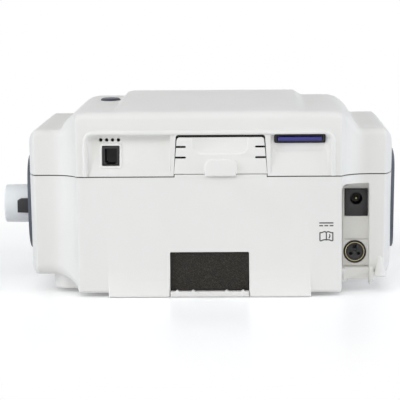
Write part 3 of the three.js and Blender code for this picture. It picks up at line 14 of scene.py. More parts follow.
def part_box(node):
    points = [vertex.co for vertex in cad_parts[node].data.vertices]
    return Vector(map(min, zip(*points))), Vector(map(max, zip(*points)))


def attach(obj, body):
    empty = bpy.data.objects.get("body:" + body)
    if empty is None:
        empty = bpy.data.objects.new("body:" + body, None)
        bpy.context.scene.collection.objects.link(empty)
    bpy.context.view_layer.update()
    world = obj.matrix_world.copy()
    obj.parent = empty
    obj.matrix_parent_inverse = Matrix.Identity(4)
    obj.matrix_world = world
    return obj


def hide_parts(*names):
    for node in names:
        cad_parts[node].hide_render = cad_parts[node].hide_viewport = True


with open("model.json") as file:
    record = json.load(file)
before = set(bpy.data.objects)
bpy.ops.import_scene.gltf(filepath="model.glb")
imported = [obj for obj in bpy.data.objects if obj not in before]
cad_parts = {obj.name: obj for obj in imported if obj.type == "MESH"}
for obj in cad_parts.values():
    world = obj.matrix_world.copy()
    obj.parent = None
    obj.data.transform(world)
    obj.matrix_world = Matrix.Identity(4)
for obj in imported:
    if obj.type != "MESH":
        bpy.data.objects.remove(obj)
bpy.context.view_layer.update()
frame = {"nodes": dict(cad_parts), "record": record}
nodes = frame["nodes"]
MM = 0.001

# ---- Body: the CAD form's driving sizes, a few of them brought closer to the photograph ----
BODY_DEPTH = 181
CREST_HEIGHT = 108
BLOCK_HEIGHT = 100
WING_HEIGHT = 90
PARTING_HEIGHT = 64.6
BLOCK_HALF_WIDTH = 73
WING_HALF_WIDTH = 103.3
TABLE_GAP = 0.9
STAND_HEIGHT = 1.3
WALL = 2.5
SEAT_GAP = 0.3
PARTING_GAP = 0.6
STRIP_ROOM = 0.01
STRIP_SET_BACK = 0.6
STRIP_BITE = 0.2
OVERRUN = 6
TAPER_SHARE = 0.02
REAR_Y = -BODY_DEPTH / 2
FRONT_Y = BODY_DEPTH / 2

SPINE_HALF_WIDTH = 47.3
SPINE_FLANK = 6
EDGE_ROUND = 1
EDGE_WIDTH = 2.8
STEP_DEPTH = 13.5
STEP_WIDTH = 19
DROP_START = 66
DROP_WIDTH = 15.3
DROP_POWER = 1.9
DROP_FOOT_START = 70
DROP_FOOT_WIDTH = 14
DROP_FOOT_SHARE = 0.3
STEP_CROWDING = 1.25
END_CROWDING = 1.8
WING_LIFT = 9
WING_ROUND_WIDTH = 6.5
BARREL_REAR = 56
BARREL_FRONT = 40
BARREL_TOP = 12.5
BARREL_TOP_WIDTH = 8
BARREL_BOTTOM = 7
BARREL_FOOT_WIDTH = 5
BARREL_DEPTH_POWER = 2
BARREL_FOOT_POWER = 2
BARREL_TOP_POWER = 1.5
STEP_POWER = 3

REAR_LEAN = 0.8
SPINE_CREST_Y = -20
SHOULDER_RISE = 1.4
SLOPE_TOP_Y = 41
SLOPE_TOP_RISE = 2.4
SPINE_TOP_DROP = 3.2
SPINE_CREST_DROP = 0.6
SLOPE_FOOT_HEIGHT = 42
FRONT_FOOT_INSET = 3
WING_FRONT_INSET = 4
WING_TOP_RISE = 1.2
WING_SLOPE_TOP_Y = 51
FOOT_REACH = 2
CREASE_REACH = 4.5
SLOPE_REACH = 9
SLOPE_FOOT_REACH = 14
FRONT_FOOT_REACH = 5
WING_REACH = 7
SIDE_USE_SHARE = 0.48
CORNER_PULL_SHARE = 0.55
LEAST_REACH_SHARE = 0.3

BASE_HALF_WIDTH = 87.5
BASE_REAR_INSET = 19.5
BASE_FRONT_INSET = 16
BASE_CORNER = 9
BASE_EDGE = 0.6
BASE_NOTCH_X = 73.4
BASE_NOTCH_DEPTH = 51
FOOT_PANEL_HALF_WIDTH = 55.3
FOOT_PANEL_HEIGHT = 18
FOOT_PANEL_FLARE = 3
FOOT_PANEL_SIDE = 1.4
FOOT_PANEL_SINK = 0.2
FOOT_PANEL_EDGE_SHARE = 0.67
FOOT_PANEL_ROUND = 0.35
FOOT_PANEL_ROUND_SHARE = 0.03

# ---- Recess, cover, jack and card slot across the rear of the upper shell ----
RECESS_HALF_WIDTH = 66.3
RECESS_TOP = 87.4
RECESS_DEPTH = 5.6
RECESS_DRAFT = 2.4
RECESS_CORNER = 3.6
BAY_RIB_CORNER = 0.4
RECESS_TOP_DRAFT = 0.5
RECESS_FILLET = 1.1
# Steps from the wall's face to the recess's floor: share of the depth, and share of the fillet
RECESS_STEPS = [(0.7, 0.0), (0.85, 0.1), (0.94, 0.32), (0.985, 0.65), (1.0, 1.0)]
BEAD_WIDTH = 2.5
BEAD_HEIGHT = 1.15
# The bead's section: share of its width out from the recess, and share of its height
BEAD_SECTION = [(0.0, -2.0), (0.0, 0.3), (0.1, 0.7), (0.25, 0.93), (0.42, 1.0), (0.6, 0.93), (0.78, 0.62),
                (0.92, 0.22), (1.05, -0.12), (1.05, -2.0)]
BAY_RIB_WIDTH = 1.3
COVER_X = 6.3
COVER_FOOT_WIDTH = 50.8
COVER_TOP_WIDTH = 47.6
COVER_TOP_GAP = 1.4
COVER_SIDE_GAP = 0.5
COVER_THICKNESS = 2
COVER_SET_BACK = 0.4
COVER_CORNER = 1.6
COVER_SLOT_LENGTH = 5
COVER_SLOT_HEIGHT = 1.1
COVER_SLOT_HEIGHTS = (80.9, 75.1)
COVER_RELIEF_WIDTH = 29.4
COVER_RELIEF_FOOT = 77.3
COVER_RELIEF_DEPTH = 0.6
COVER_RELIEF_CORNER = 4
COVER_TAB_WIDTH = 17
COVER_TAB_TOP = 74.2
COVER_TAB_FOOT = 64.9
COVER_TAB_THICKNESS = 1.3
COVER_TAB_CORNER = 4.2
COVER_LAND_HEIGHT = 1.2
LAND_CORNER = 0.3
LAND_EDGE = 0.25
COVER_EDGE = 0.45
TAB_EDGE = 0.7
TAB_FOOT_CORNER = 0.6
TAB_ROOT_GROW = 0.35
JACK_X = -53.5
JACK_WIDTH = 9.1
JACK_FOOT = 70.9
JACK_TOP = 81.2
JACK_FRAME_WIDTH = 1.5
JACK_FRAME_HEIGHT = 0.5
JACK_FRAME_CORNER = 1.2
JACK_HOLE_CORNER = 0.5
JACK_EDGE = 0.35
SOUND_HOLE_RADIUS = 0.95
SOUND_HOLE_X = -54.2
SOUND_HOLE_PITCH = 3.2
SOUND_HOLE_HEIGHT = 84.6
SOUND_HOLE_COUNT = 4
CARD_X = 49.5
CARD_HEIGHT = 84.8
SLOT_WIDTH = 28
SLOT_HEIGHT = 4.8
SLOT_CORNER = 1
SLOT_EDGE = 0.4
SCOOP_HEIGHT = 4
SCOOP_DEPTH = 0.7
SCOOP_CORNER = 2.4
# The scoop's hollow: share of its depth, and how far its outline is grown there
SCOOP_LEVELS = [(-OVERRUN, 0.9), (-0.15, 0.9), (0.15, 0.45), (0.5, 0.0), (0.8, -0.5), (1.0, -1.2)]

# ---- Niche in the right wing and its connectors ----
NICHE_LEFT = 72
NICHE_RIGHT = 87.7
NICHE_FOOT = -6
NICHE_TOP = 59.6
NICHE_CORNER = 3
NICHE_DEPTH = 24.5
NICHE_RIGHT_CORNER = 0.8
LEDGE_FOOT = 5.35
LEDGE_HEIGHT = 6.9
LEDGE_BACK = 28
LEDGE_END_WIDTH = 2.4
LEDGE_END_INSET = 0.5
LEDGE_END_RISE = 4
LEDGE_RIB_WIDTH = 1.3
LEDGE_RIB_DROP = 3
LEDGE_RIB_FRONT = 20
LEDGE_RIB_BACK = 26
PAN_WALL = 1.1
PAN_ROOM = 0.1
PAN_SKIN = 0.3
TEARDROP_X = 93.7
TEARDROP_FOOT = 7.7
TEARDROP_TOP = 19.2
TEARDROP_RADIUS = 3.3
TEARDROP_STAND = 2.8
TEARDROP_ROUND_SHARE = 0.05
TEARDROP_FOOT_SHARE = 0.72
TEARDROP_STEPS = (0.0, 0.015, 0.05, 0.12, 0.25, 0.4, 0.55, 0.7, 0.82, 0.92, 0.98)

# ---- Filter opening, outlet, side panels, start button, display slope, feet ----
FILTER_HALF_WIDTH = 21.6
FILTER_TOP = 23.4
FILTER_POCKET = 12.2
FILTER_CORNER = 0.8
OUTLET_HEIGHT = 41.2
OUTLET_Y = -1.5
OUTLET_RADIUS = 11
OUTLET_CLEARANCE = 0.6
WEDGE_ROOT = 3.4
WEDGE_EDGE = 0.45
PANEL_HALF_DEPTH = 57
PANEL_HEIGHT = 59
PANEL_CENTRE_HEIGHT = 45.5
PANEL_STAND = 1.7
PANEL_POWER = 2.6
PANEL_BITE = 0.05
# The panel's crown: share of its stand past the rim, and how far the oval is drawn in there
PANEL_CROWN = ((-2, 0), (-0.6, -0.6), (0, -1.8), (1, -4.5))
START_X = -59
START_Y = -3
START_HALF_WIDTH = 5.6
START_HALF_DEPTH = 9
KEY_CLEARANCE = 0.4
CONTROL_HALF_WIDTH = 44
CONTROL_TOP = 30
CONTROL_FOOT = 24
CONTROL_CORNER = 6
FOOT_X = 62
FOOT_REAR_Y = -61
FOOT_FRONT_Y = 63
FOOT_RADIUS = 7
FOOT_RECESS = 1.7
FOOT_EDGE = 1

# ---- Fineness of the visual pieces ----
CORNER_STEPS = 8
EDGE_STEPS = 4
OUTLINE_STEPS = 8
CIRCLE_STEPS = 64
LARGE_OVAL_STEPS = 96
FOOT_STEPS = 48
SMALL_CIRCLE_STEPS = 32
SOUND_HOLE_STEPS = 24
SHARP_ANGLE = 35
LEAST_RADIUS = 0.02

# ---- Small edges and overlaps ----
MOUTH_EDGE = 0.5
KEY_HOLE_EDGE = 0.3
SOFT_EDGE = 0.2
BACK_EDGE = 0.1
HIDDEN_EDGE = 0.05
BITE = 0.5

# The machine's own frame lies beside the library's frame: its first foot tells by how much
foot_low, foot_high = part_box("rubber_foot_1")
SHIFT = Vector((
    (foot_low.x + foot_high.x) / 2 / MM + FOOT_X,
    (foot_low.y + foot_high.y) / 2 / MM - FOOT_REAR_Y,
    foot_low.z / MM + STAND_HEIGHT,
))


def in_machine(corner):
    """A point of the library's frame, in metres, told in the machine's own millimetres."""
    return Vector(corner) / MM - SHIFT


def box_in_machine(box):
    """The low and the high corner of a box, told in the machine's own millimetres."""
    return tuple(in_machine(corner) for corner in box)


# ---- Values ----
def clamp01(value):
    return min(1.0, max(0.0, value))


def mix(start, end, share):
    return start + (end - start) * share


def smooth(value):
    return clamp01(value) ** 2 * (3 - 2 * clamp01(value))


def bulge(share, power):
    return 1 - (1 - clamp01(share) ** power) ** (1 / power)


def taper_at(height):
    return 1 - TAPER_SHARE * (1 - height / CREST_HEIGHT)


def shares(count):
    return [step / count for step in range(count + 1)]


def quarter_round(radius, count=EDGE_STEPS):
    """Steps round a quarter circle: how far in along one side, and how far still out along the other."""
    turns = [math.pi / 2 * share for share in shares(count)]
    return [(radius * (1 - math.cos(turn)), radius * (1 - math.sin(turn))) for turn in turns]


# ---- Meshes ----
def make_piece(name, points, faces):
    """A mesh object from points in millimetres in the machine's frame, faces turned outwards."""
    mesh = bpy.data.meshes.new(name)
    mesh.from_pydata([tuple((Vector(point) + SHIFT) * MM) for point in points], [], faces)
    tidy = bmesh.new()
    tidy.from_mesh(mesh)
    bmesh.ops.recalc_face_normals(tidy, faces=tidy.faces)
    tidy.to_mesh(mesh)
    tidy.free()
    piece = bpy.data.objects.new(name, mesh)
    bpy.context.scene.collection.objects.link(piece)
    return piece


def loft(name, rings):
    """A closed skin over rings of equal point count, capped at both ends."""
    count = len(rings[0])
    points = [point for ring in rings for point in ring]
    faces = []
    for ring in range(len(rings) - 1):
        start = ring * count
        for place in range(count):
            after = (place + 1) % count
            faces.append((start + place, start + after, start + count + after, start + count + place))
    faces.append(tuple(range(count)))
    faces.append(tuple(range(len(points) - count, len(points))))
    return make_piece(name, points, faces)


def settle(piece):
    """Applies a piece's modifiers to its mesh."""
    bpy.context.view_layer.update()
    graph = bpy.context.evaluated_depsgraph_get()
    mesh = bpy.data.meshes.new_from_object(piece.evaluated_get(graph))
    piece.modifiers.clear()
    piece.data = mesh
    return piece


def combine(piece, others, operation):
    """Joins, cuts or intersects a piece with others, which are used up."""
    for other in others:
        step = piece.modifiers.new("combine", "BOOLEAN")
        step.operation = operation
        step.solver = "MANIFOLD"
        step.object = other
    settle(piece)
    for other in others:
        bpy.data.objects.remove(other)
    return piece


def cut(piece, *tools):
    return combine(piece, tools, "DIFFERENCE")


def join(piece, *others):
    return combine(piece, others, "UNION")


def overlap(piece, other):
    return combine(piece, [other], "INTERSECT")


# Ways to lay an outline (u, v) and a place w in the machine's frame
def along_y(u, v, w):
    return (u, w, v)


def along_z(u, v, w):
    return (u, v, w)


def along_x(u, v, w):
    return (w, u, v)


def box_between(low, high):
    corners = [(x, y, z) for z in (low[2], high[2]) for x, y in
               ((low[0], low[1]), (high[0], low[1]), (high[0], high[1]), (low[0], high[1]))]
    return loft("box", [corners[:4], corners[4:]])


def round_outline(left, foot, right, top, radii, grow=0.0):
    """A rectangle with round corners, lower left first and on round by the lower right."""
    corners = [(left, foot, 1, 1, 180), (right, foot, -1, 1, 270),
               (right, top, -1, -1, 0), (left, top, 1, -1, 90)]
    points = []
    for (u, v, side, rise, start), radius in zip(corners, radii):
        reach = max(radius + grow, LEAST_RADIUS)
        centre = (u - side * grow + side * reach, v - rise * grow + rise * reach)
        for share in shares(OUTLINE_STEPS):
            angle = math.radians(start + 90 * share)
            points.append((centre[0] + reach * math.cos(angle), centre[1] + reach * math.sin(angle)))
    return points


def oval_outline(centre, half_width, half_length, grow=0.0, steps=CIRCLE_STEPS):
    turns = [2 * math.pi * step / steps for step in range(steps)]
    return [(centre[0] + (half_width + grow) * math.cos(turn),
             centre[1] + (half_length + grow) * math.sin(turn)) for turn in turns]


def circle_outline(centre, radius, grow=0.0, steps=CIRCLE_STEPS):
    return oval_outline(centre, radius, radius, grow, steps)


def stack(name, outline, levels, lay):
    """Lofts outline(grow) through levels of (place, grow), laid out by lay(u, v, w)."""
    return loft(name, [[lay(u, v, place) for u, v in outline(grow)] for place, grow in levels])


def mouth_levels(surface, end, edge):
    """Levels of a cutter that enters at surface, towards end, and leaves a rounded edge behind."""
    way = math.copysign(1, end - surface)
    fillet = [(surface + way * back, out) for back, out in quarter_round(edge)]
    return [(surface - way * OVERRUN, edge)] + fillet + [(end, 0.0)]


def plate_levels(low, high, low_edge, high_edge):
    """Levels of a plate between two faces whose edges are rounded."""
    foot = [(low + back, -out) for back, out in quarter_round(low_edge)]
    head = [(high - back, -out) for back, out in reversed(quarter_round(high_edge))]
    return foot + head


def turned(name, profile, lay, steps=CIRCLE_STEPS):
    """A solid of revolution from (radius, place) pairs that meet its axis or close on themselves."""
    points = []
    faces = []
    for step in range(steps):
        turn = 2 * math.pi * step / steps
        points += [lay(radius * math.cos(turn), radius * math.sin(turn), place) for radius, place in profile]
    count = len(profile)
    for step in range(steps):
        here, there = step * count, (step + 1) % steps * count
        for place in range(count - 1):
            faces.append((here + place, here + place + 1, there + place + 1, there + place))
    piece = make_piece(name, points, faces)
    tidy = bmesh.new()
    tidy.from_mesh(piece.data)
    bmesh.ops.remove_doubles(tidy, verts=tidy.verts, dist=1e-7)
    bmesh.ops.dissolve_degenerate(tidy, edges=tidy.edges, dist=1e-8)
    bmesh.ops.recalc_face_normals(tidy, faces=tidy.faces)
    tidy.to_mesh(piece.data)
    tidy.free()
    return piece


def soften(piece, width, angle=SHARP_ANGLE, segments=2):
    """Rounds a piece's sharp edges by a small width."""
    edges = piece.modifiers.new("edges", "BEVEL")
    edges.width = width * MM
    edges.segments = segments
    edges.limit_method = "ANGLE"
    edges.angle_limit = math.radians(angle)
    edges.use_clamp_overlap = True
    return settle(piece)


def shade(piece, angle=SHARP_ANGLE):
    """Smooth shading up to an angle between faces, kept in the mesh."""
    piece.data.shade_smooth()
    sharp = math.radians(angle)
    tidy = bmesh.new()
    tidy.from_mesh(piece.data)
    for edge in tidy.edges:
        edge.smooth = len(edge.link_faces) == 2 and edge.calc_face_angle(0.0) < sharp
    tidy.to_mesh(piece.data)
    tidy.free()
    return piece


# ---- The body's form ----
SPINE_CORNERS = [
    (REAR_Y, TABLE_GAP, FOOT_REACH),
    (REAR_Y + REAR_LEAN, BLOCK_HEIGHT, CREASE_REACH),
    (SPINE_CREST_Y, CREST_HEIGHT - SPINE_CREST_DROP, SLOPE_FOOT_REACH),
    (SLOPE_TOP_Y, CREST_HEIGHT - SPINE_TOP_DROP, SLOPE_REACH),
    (FRONT_Y, SLOPE_FOOT_HEIGHT, SLOPE_FOOT_REACH),
    (FRONT_Y - FRONT_FOOT_INSET, TABLE_GAP, FRONT_FOOT_REACH),
]
SHOULDER_CORNERS = [
    SPINE_CORNERS[0],
    SPINE_CORNERS[1],
    (SPINE_CREST_Y, BLOCK_HEIGHT + SHOULDER_RISE, SLOPE_FOOT_REACH),
    (SLOPE_TOP_Y, BLOCK_HEIGHT + SLOPE_TOP_RISE, SLOPE_REACH),
    SPINE_CORNERS[4],
    SPINE_CORNERS[5],
]
WING_CORNERS = [
    (REAR_Y + STEP_DEPTH, WING_LIFT, WING_REACH),
    (REAR_Y + STEP_DEPTH, WING_HEIGHT, CREASE_REACH),
    (SPINE_CREST_Y, WING_HEIGHT + WING_TOP_RISE / 2, SLOPE_FOOT_REACH),
    (WING_SLOPE_TOP_Y, WING_HEIGHT + WING_TOP_RISE, SLOPE_REACH),
    (FRONT_Y - WING_FRONT_INSET, SLOPE_FOOT_HEIGHT, SLOPE_FOOT_REACH),
    (FRONT_Y - WING_FRONT_INSET - FRONT_FOOT_INSET, WING_LIFT, WING_REACH),
]
BLOCK_EDGE = BLOCK_HALF_WIDTH - EDGE_ROUND


def step_share(distance):
    along = clamp01((distance - BLOCK_EDGE) / (STEP_WIDTH + EDGE_ROUND))
    return (1 - (1 - along) ** STEP_POWER) * smooth((distance - BLOCK_EDGE) / EDGE_WIDTH)


def body_corners(distance):
    """Corners of the side view at a distance from the centre plane: place, height and rounding reach."""
    flank = smooth((distance - SPINE_HALF_WIDTH) / SPINE_FLANK)
    step = step_share(distance)
    drop = mix(bulge((distance - DROP_START) / DROP_WIDTH, DROP_POWER),
               smooth((distance - DROP_FOOT_START) / DROP_FOOT_WIDTH), DROP_FOOT_SHARE)

    def end_share(width):
        return (distance - WING_HALF_WIDTH + width) / width

    depth_bulge = bulge(end_share(WING_ROUND_WIDTH), BARREL_DEPTH_POWER)
    lift = BARREL_BOTTOM * bulge(end_share(BARREL_FOOT_WIDTH), BARREL_FOOT_POWER)
    fall = -BARREL_TOP * bulge(end_share(BARREL_TOP_WIDTH), BARREL_TOP_POWER)
    rear_pull, front_pull = BARREL_REAR * depth_bulge, -BARREL_FRONT * depth_bulge
    pull = [(rear_pull, lift), (rear_pull, fall), (0, fall),
            (front_pull, fall), (front_pull, 0), (front_pull, lift)]
    corners = []
    for index, wing in enumerate(WING_CORNERS):
        is_top = 0 < index < len(WING_CORNERS) - 1
        height_share = drop if is_top else step
        inner = [mix(spine, shoulder, flank)
                 for spine, shoulder in zip(SPINE_CORNERS[index], SHOULDER_CORNERS[index])]
        corners.append((
            mix(inner[0], wing[0], step) + pull[index][0],
            mix(inner[1], wing[1], height_share) + pull[index][1],
            mix(inner[2], wing[2], height_share),
        ))
    return corners


def inset_corners(corners, inset):
    """The side view's corners moved inwards by an even inset."""
    moved = []
    for index, (y, z, reach) in enumerate(corners):
        before = corners[index - 1]
        after = corners[(index + 1) % len(corners)]

        def inward(start, end):
            length = math.hypot(end[0] - start[0], end[1] - start[1])
            return (end[1] - start[1]) / length, -(end[0] - start[0]) / length

        first = inward(before, (y, z))
        second = inward((y, z), after)
        scale = inset / (1 + first[0] * second[0] + first[1] * second[1])
        moved.append((y + (first[0] + second[0]) * scale, z + (first[1] + second[1]) * scale,
                      max(reach - inset, reach * LEAST_REACH_SHARE)))
    return moved


def body_ring(x, inset):
    """One closed cross section of the body, rounded at each corner by a cubic curve."""
    corners = inset_corners(body_corners(abs(x) + (inset if x else 0)), inset)
    ring = []
    for index, (y, z, reach) in enumerate(corners):
        def towards(other):
            length = math.hypot(other[0] - y, other[1] - z)
            share = min(reach / length, SIDE_USE_SHARE)
            return mix(y, other[0], share), mix(z, other[1], share)

        start = towards(corners[index - 1])
        finish = towards(corners[(index + 1) % len(corners)])
        leave = tuple(mix(a, b, CORNER_PULL_SHARE) for a, b in zip(start, (y, z)))
        arrive = tuple(mix(a, b, CORNER_PULL_SHARE) for a, b in zip(finish, (y, z)))
        for share in shares(CORNER_STEPS):
            rest = 1 - share
            weights = (rest ** 3, 3 * rest ** 2 * share, 3 * rest * share ** 2, share ** 3)
            ring.append(tuple(
                sum(weight * point[axis] for weight, point in zip(weights, (start, leave, arrive, finish)))
                for axis in (0, 1)))
    return [(x * taper_at(z), y, z) for y, z in ring]


def body_stations():
    """Where the cross sections stand on one side: close together where the form turns."""
    flank = [SPINE_HALF_WIDTH + SPINE_FLANK * share for share in shares(8)]
    step = [BLOCK_EDGE + (STEP_WIDTH + EDGE_ROUND) * share ** STEP_CROWDING for share in shares(26)]
    end = [WING_HALF_WIDTH - BARREL_TOP_WIDTH * (1 - share) ** END_CROWDING for share in shares(26)]
    flat = [SPINE_HALF_WIDTH * share for share in shares(3)[1:-1]]
    shoulder = [mix(SPINE_HALF_WIDTH + SPINE_FLANK, BLOCK_EDGE, share) for share in shares(8)[1:-1]]
    return sorted(flat + flank + shoulder + step + [x for x in end if x > step[-1]])


def body_form(inset):
    """The whole body as one solid, inset all round."""
    right = [x - inset for x in body_stations()]
    places = [-x for x in reversed(right)] + [0.0] + right
    return loft("body_form", [body_ring(x, inset) for x in places])


def slab(low, high):
    """Everything between two heights."""
    reach = WING_HALF_WIDTH * 2
    return box_between((-reach, -reach, low), (reach, reach, high))


def base_block(inset, foot, top):
    """The block under the wings that carries the feet, with the notch behind the niche."""
    def outline(grow):
        return round_outline(-BASE_HALF_WIDTH + inset, REAR_Y + BASE_REAR_INSET + inset,
                             BASE_HALF_WIDTH - inset, FRONT_Y - BASE_FRONT_INSET - inset,
                             [BASE_CORNER - inset] * 4, grow)
    foot_edge = HIDDEN_EDGE if inset else BASE_EDGE
    base = stack("base", outline, plate_levels(foot, top, foot_edge, HIDDEN_EDGE), along_z)
    notch_y = REAR_Y + BASE_REAR_INSET + BASE_NOTCH_DEPTH + inset
    notch = box_between((BASE_NOTCH_X - inset, -BODY_DEPTH, -OVERRUN), (BODY_DEPTH, notch_y, top + OVERRUN))
    return cut(base, notch)


# ---- Details of the upper shell ----
def recess_floor(height):
    return REAR_Y + RECESS_DEPTH * (height - PARTING_HEIGHT) / (RECESS_TOP - PARTING_HEIGHT)


def on_recess_floor(u, v, w):
    """An outline across and up, with w measured inwards from the recess's sloping floor."""
    return (u, recess_floor(v) + w, v)


BAY_LEFT = COVER_X - COVER_FOOT_WIDTH / 2 - COVER_SIDE_GAP
BAY_RIGHT = COVER_X + COVER_FOOT_WIDTH / 2 + COVER_SIDE_GAP


def recess_cutter(left, right, draft_left, draft_right, grow):
    """The hollow of the recess: full depth at its top, flush at the parting line, with a filleted floor."""
    foot = PARTING_HEIGHT - (0 if grow else OVERRUN)
    corners = [0, 0] + [RECESS_CORNER if draft else BAY_RIB_CORNER for draft in (draft_right, draft_left)]
    rings = []
    for place in (REAR_Y - OVERRUN, REAR_Y):
        rings.append([(u, place, v) for u, v in round_outline(
            left - grow, foot, right + grow, RECESS_TOP + grow, corners)])
    for depth, fillet in RECESS_STEPS:
        sides = [left - grow + draft_left * depth + fillet * RECESS_FILLET,
                 right + grow - draft_right * depth - fillet * RECESS_FILLET]
        top = RECESS_TOP + grow - RECESS_TOP_DRAFT * depth - fillet * RECESS_FILLET
        rings.append([(u, REAR_Y + grow + (recess_floor(v) - REAR_Y) * depth, v) for u, v in round_outline(
            sides[0], foot, sides[1], top, corners)])
    return loft("recess", rings)


def bead_band():
    """The rounded raised rim round the recess, swept along its outline and open at the parting line."""
    paths = [round_outline(-RECESS_HALF_WIDTH, PARTING_HEIGHT - OVERRUN, RECESS_HALF_WIDTH, RECESS_TOP,
                           [0, 0, RECESS_CORNER, RECESS_CORNER], grow * BEAD_WIDTH)[OUTLINE_STEPS + 1:]
             for grow, _ in BEAD_SECTION]
    rings = []
    for path, (_, rise) in zip(paths, BEAD_SECTION):
        left_foot = (path[-1][0], PARTING_HEIGHT - OVERRUN)
        line = path[OUTLINE_STEPS:] + [left_foot]
        rings.append([(u, REAR_Y + REAR_LEAN * v / BLOCK_HEIGHT - rise * BEAD_HEIGHT, v) for u, v in line])
    sections = [[ring[place] for ring in rings] for place in range(len(rings[0]))]
    return loft("bead", sections)


def cover_outline(side_gap, top_gap, foot, grow=0.0):
    """The trapezoid of the accessory cover, with round top corners."""
    top = RECESS_TOP - COVER_TOP_GAP + top_gap + grow
    foot_half = COVER_FOOT_WIDTH / 2 + side_gap + grow
    top_half = COVER_TOP_WIDTH / 2 + side_gap + grow
    points = [(COVER_X - foot_half, foot - grow), (COVER_X + foot_half, foot - grow)]
    corner = COVER_CORNER + max(grow, -COVER_CORNER / 2)
    arc = quarter_round(corner, OUTLINE_STEPS)
    points += [(COVER_X + top_half - back, top - out) for back, out in arc]
    points += [(COVER_X - top_half + back, top - out) for back, out in reversed(arc)]
    return points


def bay_cutter():
    def outline(grow):
        return cover_outline(COVER_SIDE_GAP, COVER_TOP_GAP, PARTING_HEIGHT - OVERRUN, grow)
    levels = mouth_levels(REAR_Y + REAR_LEAN / 2, REAR_Y + OVERRUN * 2, COVER_EDGE)
    return stack("bay", outline, levels, along_y)


def jack_outline(margin, corner):
    """The jack's upright rectangle with a margin round it."""
    half = JACK_WIDTH / 2 + margin
    return lambda grow: round_outline(JACK_X - half, JACK_FOOT - margin, JACK_X + half, JACK_TOP + margin,
                                      [corner] * 4, grow)


def jack_frame():
    return stack("jack_frame", jack_outline(JACK_FRAME_WIDTH, JACK_FRAME_CORNER),
                 plate_levels(-JACK_FRAME_HEIGHT, WALL / 2, JACK_EDGE, HIDDEN_EDGE), on_recess_floor)


def jack_cutter():
    return stack("jack_hole", jack_outline(SEAT_GAP, JACK_HOLE_CORNER),
                 mouth_levels(-JACK_FRAME_HEIGHT, OVERRUN * 2, JACK_EDGE), on_recess_floor)


def sound_cutters():
    middle = (SOUND_HOLE_COUNT - 1) / 2
    places = [SOUND_HOLE_X + (index - middle) * SOUND_HOLE_PITCH for index in range(SOUND_HOLE_COUNT)]
    return [stack("sound_hole", lambda grow, x=x: circle_outline(
        (x, SOUND_HOLE_HEIGHT), SOUND_HOLE_RADIUS, grow, SOUND_HOLE_STEPS),
        mouth_levels(0, OVERRUN, SOFT_EDGE), on_recess_floor) for x in places]


def slot_cutter():
    return stack("card_slot", lambda grow: round_outline(
        CARD_X - SLOT_WIDTH / 2, CARD_HEIGHT - SLOT_HEIGHT / 2,
        CARD_X + SLOT_WIDTH / 2, CARD_HEIGHT + SLOT_HEIGHT / 2, [SLOT_CORNER] * 4, grow),
        mouth_levels(0, OVERRUN * 2, SLOT_EDGE), on_recess_floor)


def scoop_cutter():
    """The shallow finger dish under the card slot."""
    foot = CARD_HEIGHT - SLOT_HEIGHT / 2 - SCOOP_HEIGHT

    def lay(u, v, w):
        return (u, recess_floor(v) + w * SCOOP_DEPTH, v)
    return stack("scoop", lambda grow: round_outline(
        CARD_X - SLOT_WIDTH / 2, foot, CARD_X + SLOT_WIDTH / 2, CARD_HEIGHT + SLOT_HEIGHT / 4,
        [SCOOP_CORNER, SCOOP_CORNER, SLOT_CORNER, SLOT_CORNER], grow), SCOOP_LEVELS, lay)


def start_cutter():
    top = BLOCK_HEIGHT + SHOULDER_RISE * 1.5
    return stack("start_hole", lambda grow: oval_outline(
        (START_X, START_Y), START_HALF_WIDTH + KEY_CLEARANCE, START_HALF_DEPTH + KEY_CLEARANCE, grow),
        mouth_levels(top, PARTING_HEIGHT + OVERRUN, MOUTH_EDGE), along_z)


# The slope that carries the display: x across, y down the slope, z out of it
SLOPE_TOP_HEIGHT = CREST_HEIGHT - SPINE_TOP_DROP
SLOPE_MIDDLE = (0, (SLOPE_TOP_Y + FRONT_Y) / 2, (SLOPE_TOP_HEIGHT + SLOPE_FOOT_HEIGHT) / 2)
SLOPE_ANGLE = math.atan2(SLOPE_TOP_HEIGHT - SLOPE_FOOT_HEIGHT, FRONT_Y - SLOPE_TOP_Y)
SLOPE_PLACE = Matrix.Translation(SLOPE_MIDDLE) @ Matrix.Rotation(-SLOPE_ANGLE, 4, "X")


def on_slope(u, v, w):
    return tuple(SLOPE_PLACE @ Vector((u, v, w)))


def control_outline(grow):
    return round_outline(-CONTROL_HALF_WIDTH, -CONTROL_TOP, CONTROL_HALF_WIDTH, CONTROL_FOOT,
                         [CONTROL_CORNER] * 4, grow)


def control_cutter():
    return stack("control_hole", lambda grow: control_outline(grow + KEY_CLEARANCE),
                 mouth_levels(0, -OVERRUN * 2, MOUTH_EDGE), on_slope)


def above_parting():
    return slab(PARTING_HEIGHT + PARTING_GAP / 2, CREST_HEIGHT * 2)


def upper_shell():
    """The top shell: thin all round, backed behind the recess, with its bead, holes and slots."""
    shell = overlap(cut(body_form(0), body_form(WALL)), above_parting())
    hollow = recess_cutter(-RECESS_HALF_WIDTH, RECESS_HALF_WIDTH, RECESS_DRAFT, RECESS_DRAFT, WALL)
    backing = overlap(overlap(hollow, body_form(0)), above_parting())
    join(shell, backing, overlap(bead_band(), above_parting()))
    cut(shell, recess_cutter(-RECESS_HALF_WIDTH, BAY_LEFT - BAY_RIB_WIDTH, RECESS_DRAFT, 0, 0),
        recess_cutter(BAY_RIGHT + BAY_RIB_WIDTH, RECESS_HALF_WIDTH, 0, RECESS_DRAFT, 0))
    join(shell, jack_frame())
    cut(shell, *sound_cutters(), jack_cutter(), slot_cutter(), scoop_cutter(), bay_cutter(), start_cutter(),
        control_cutter())
    return shell


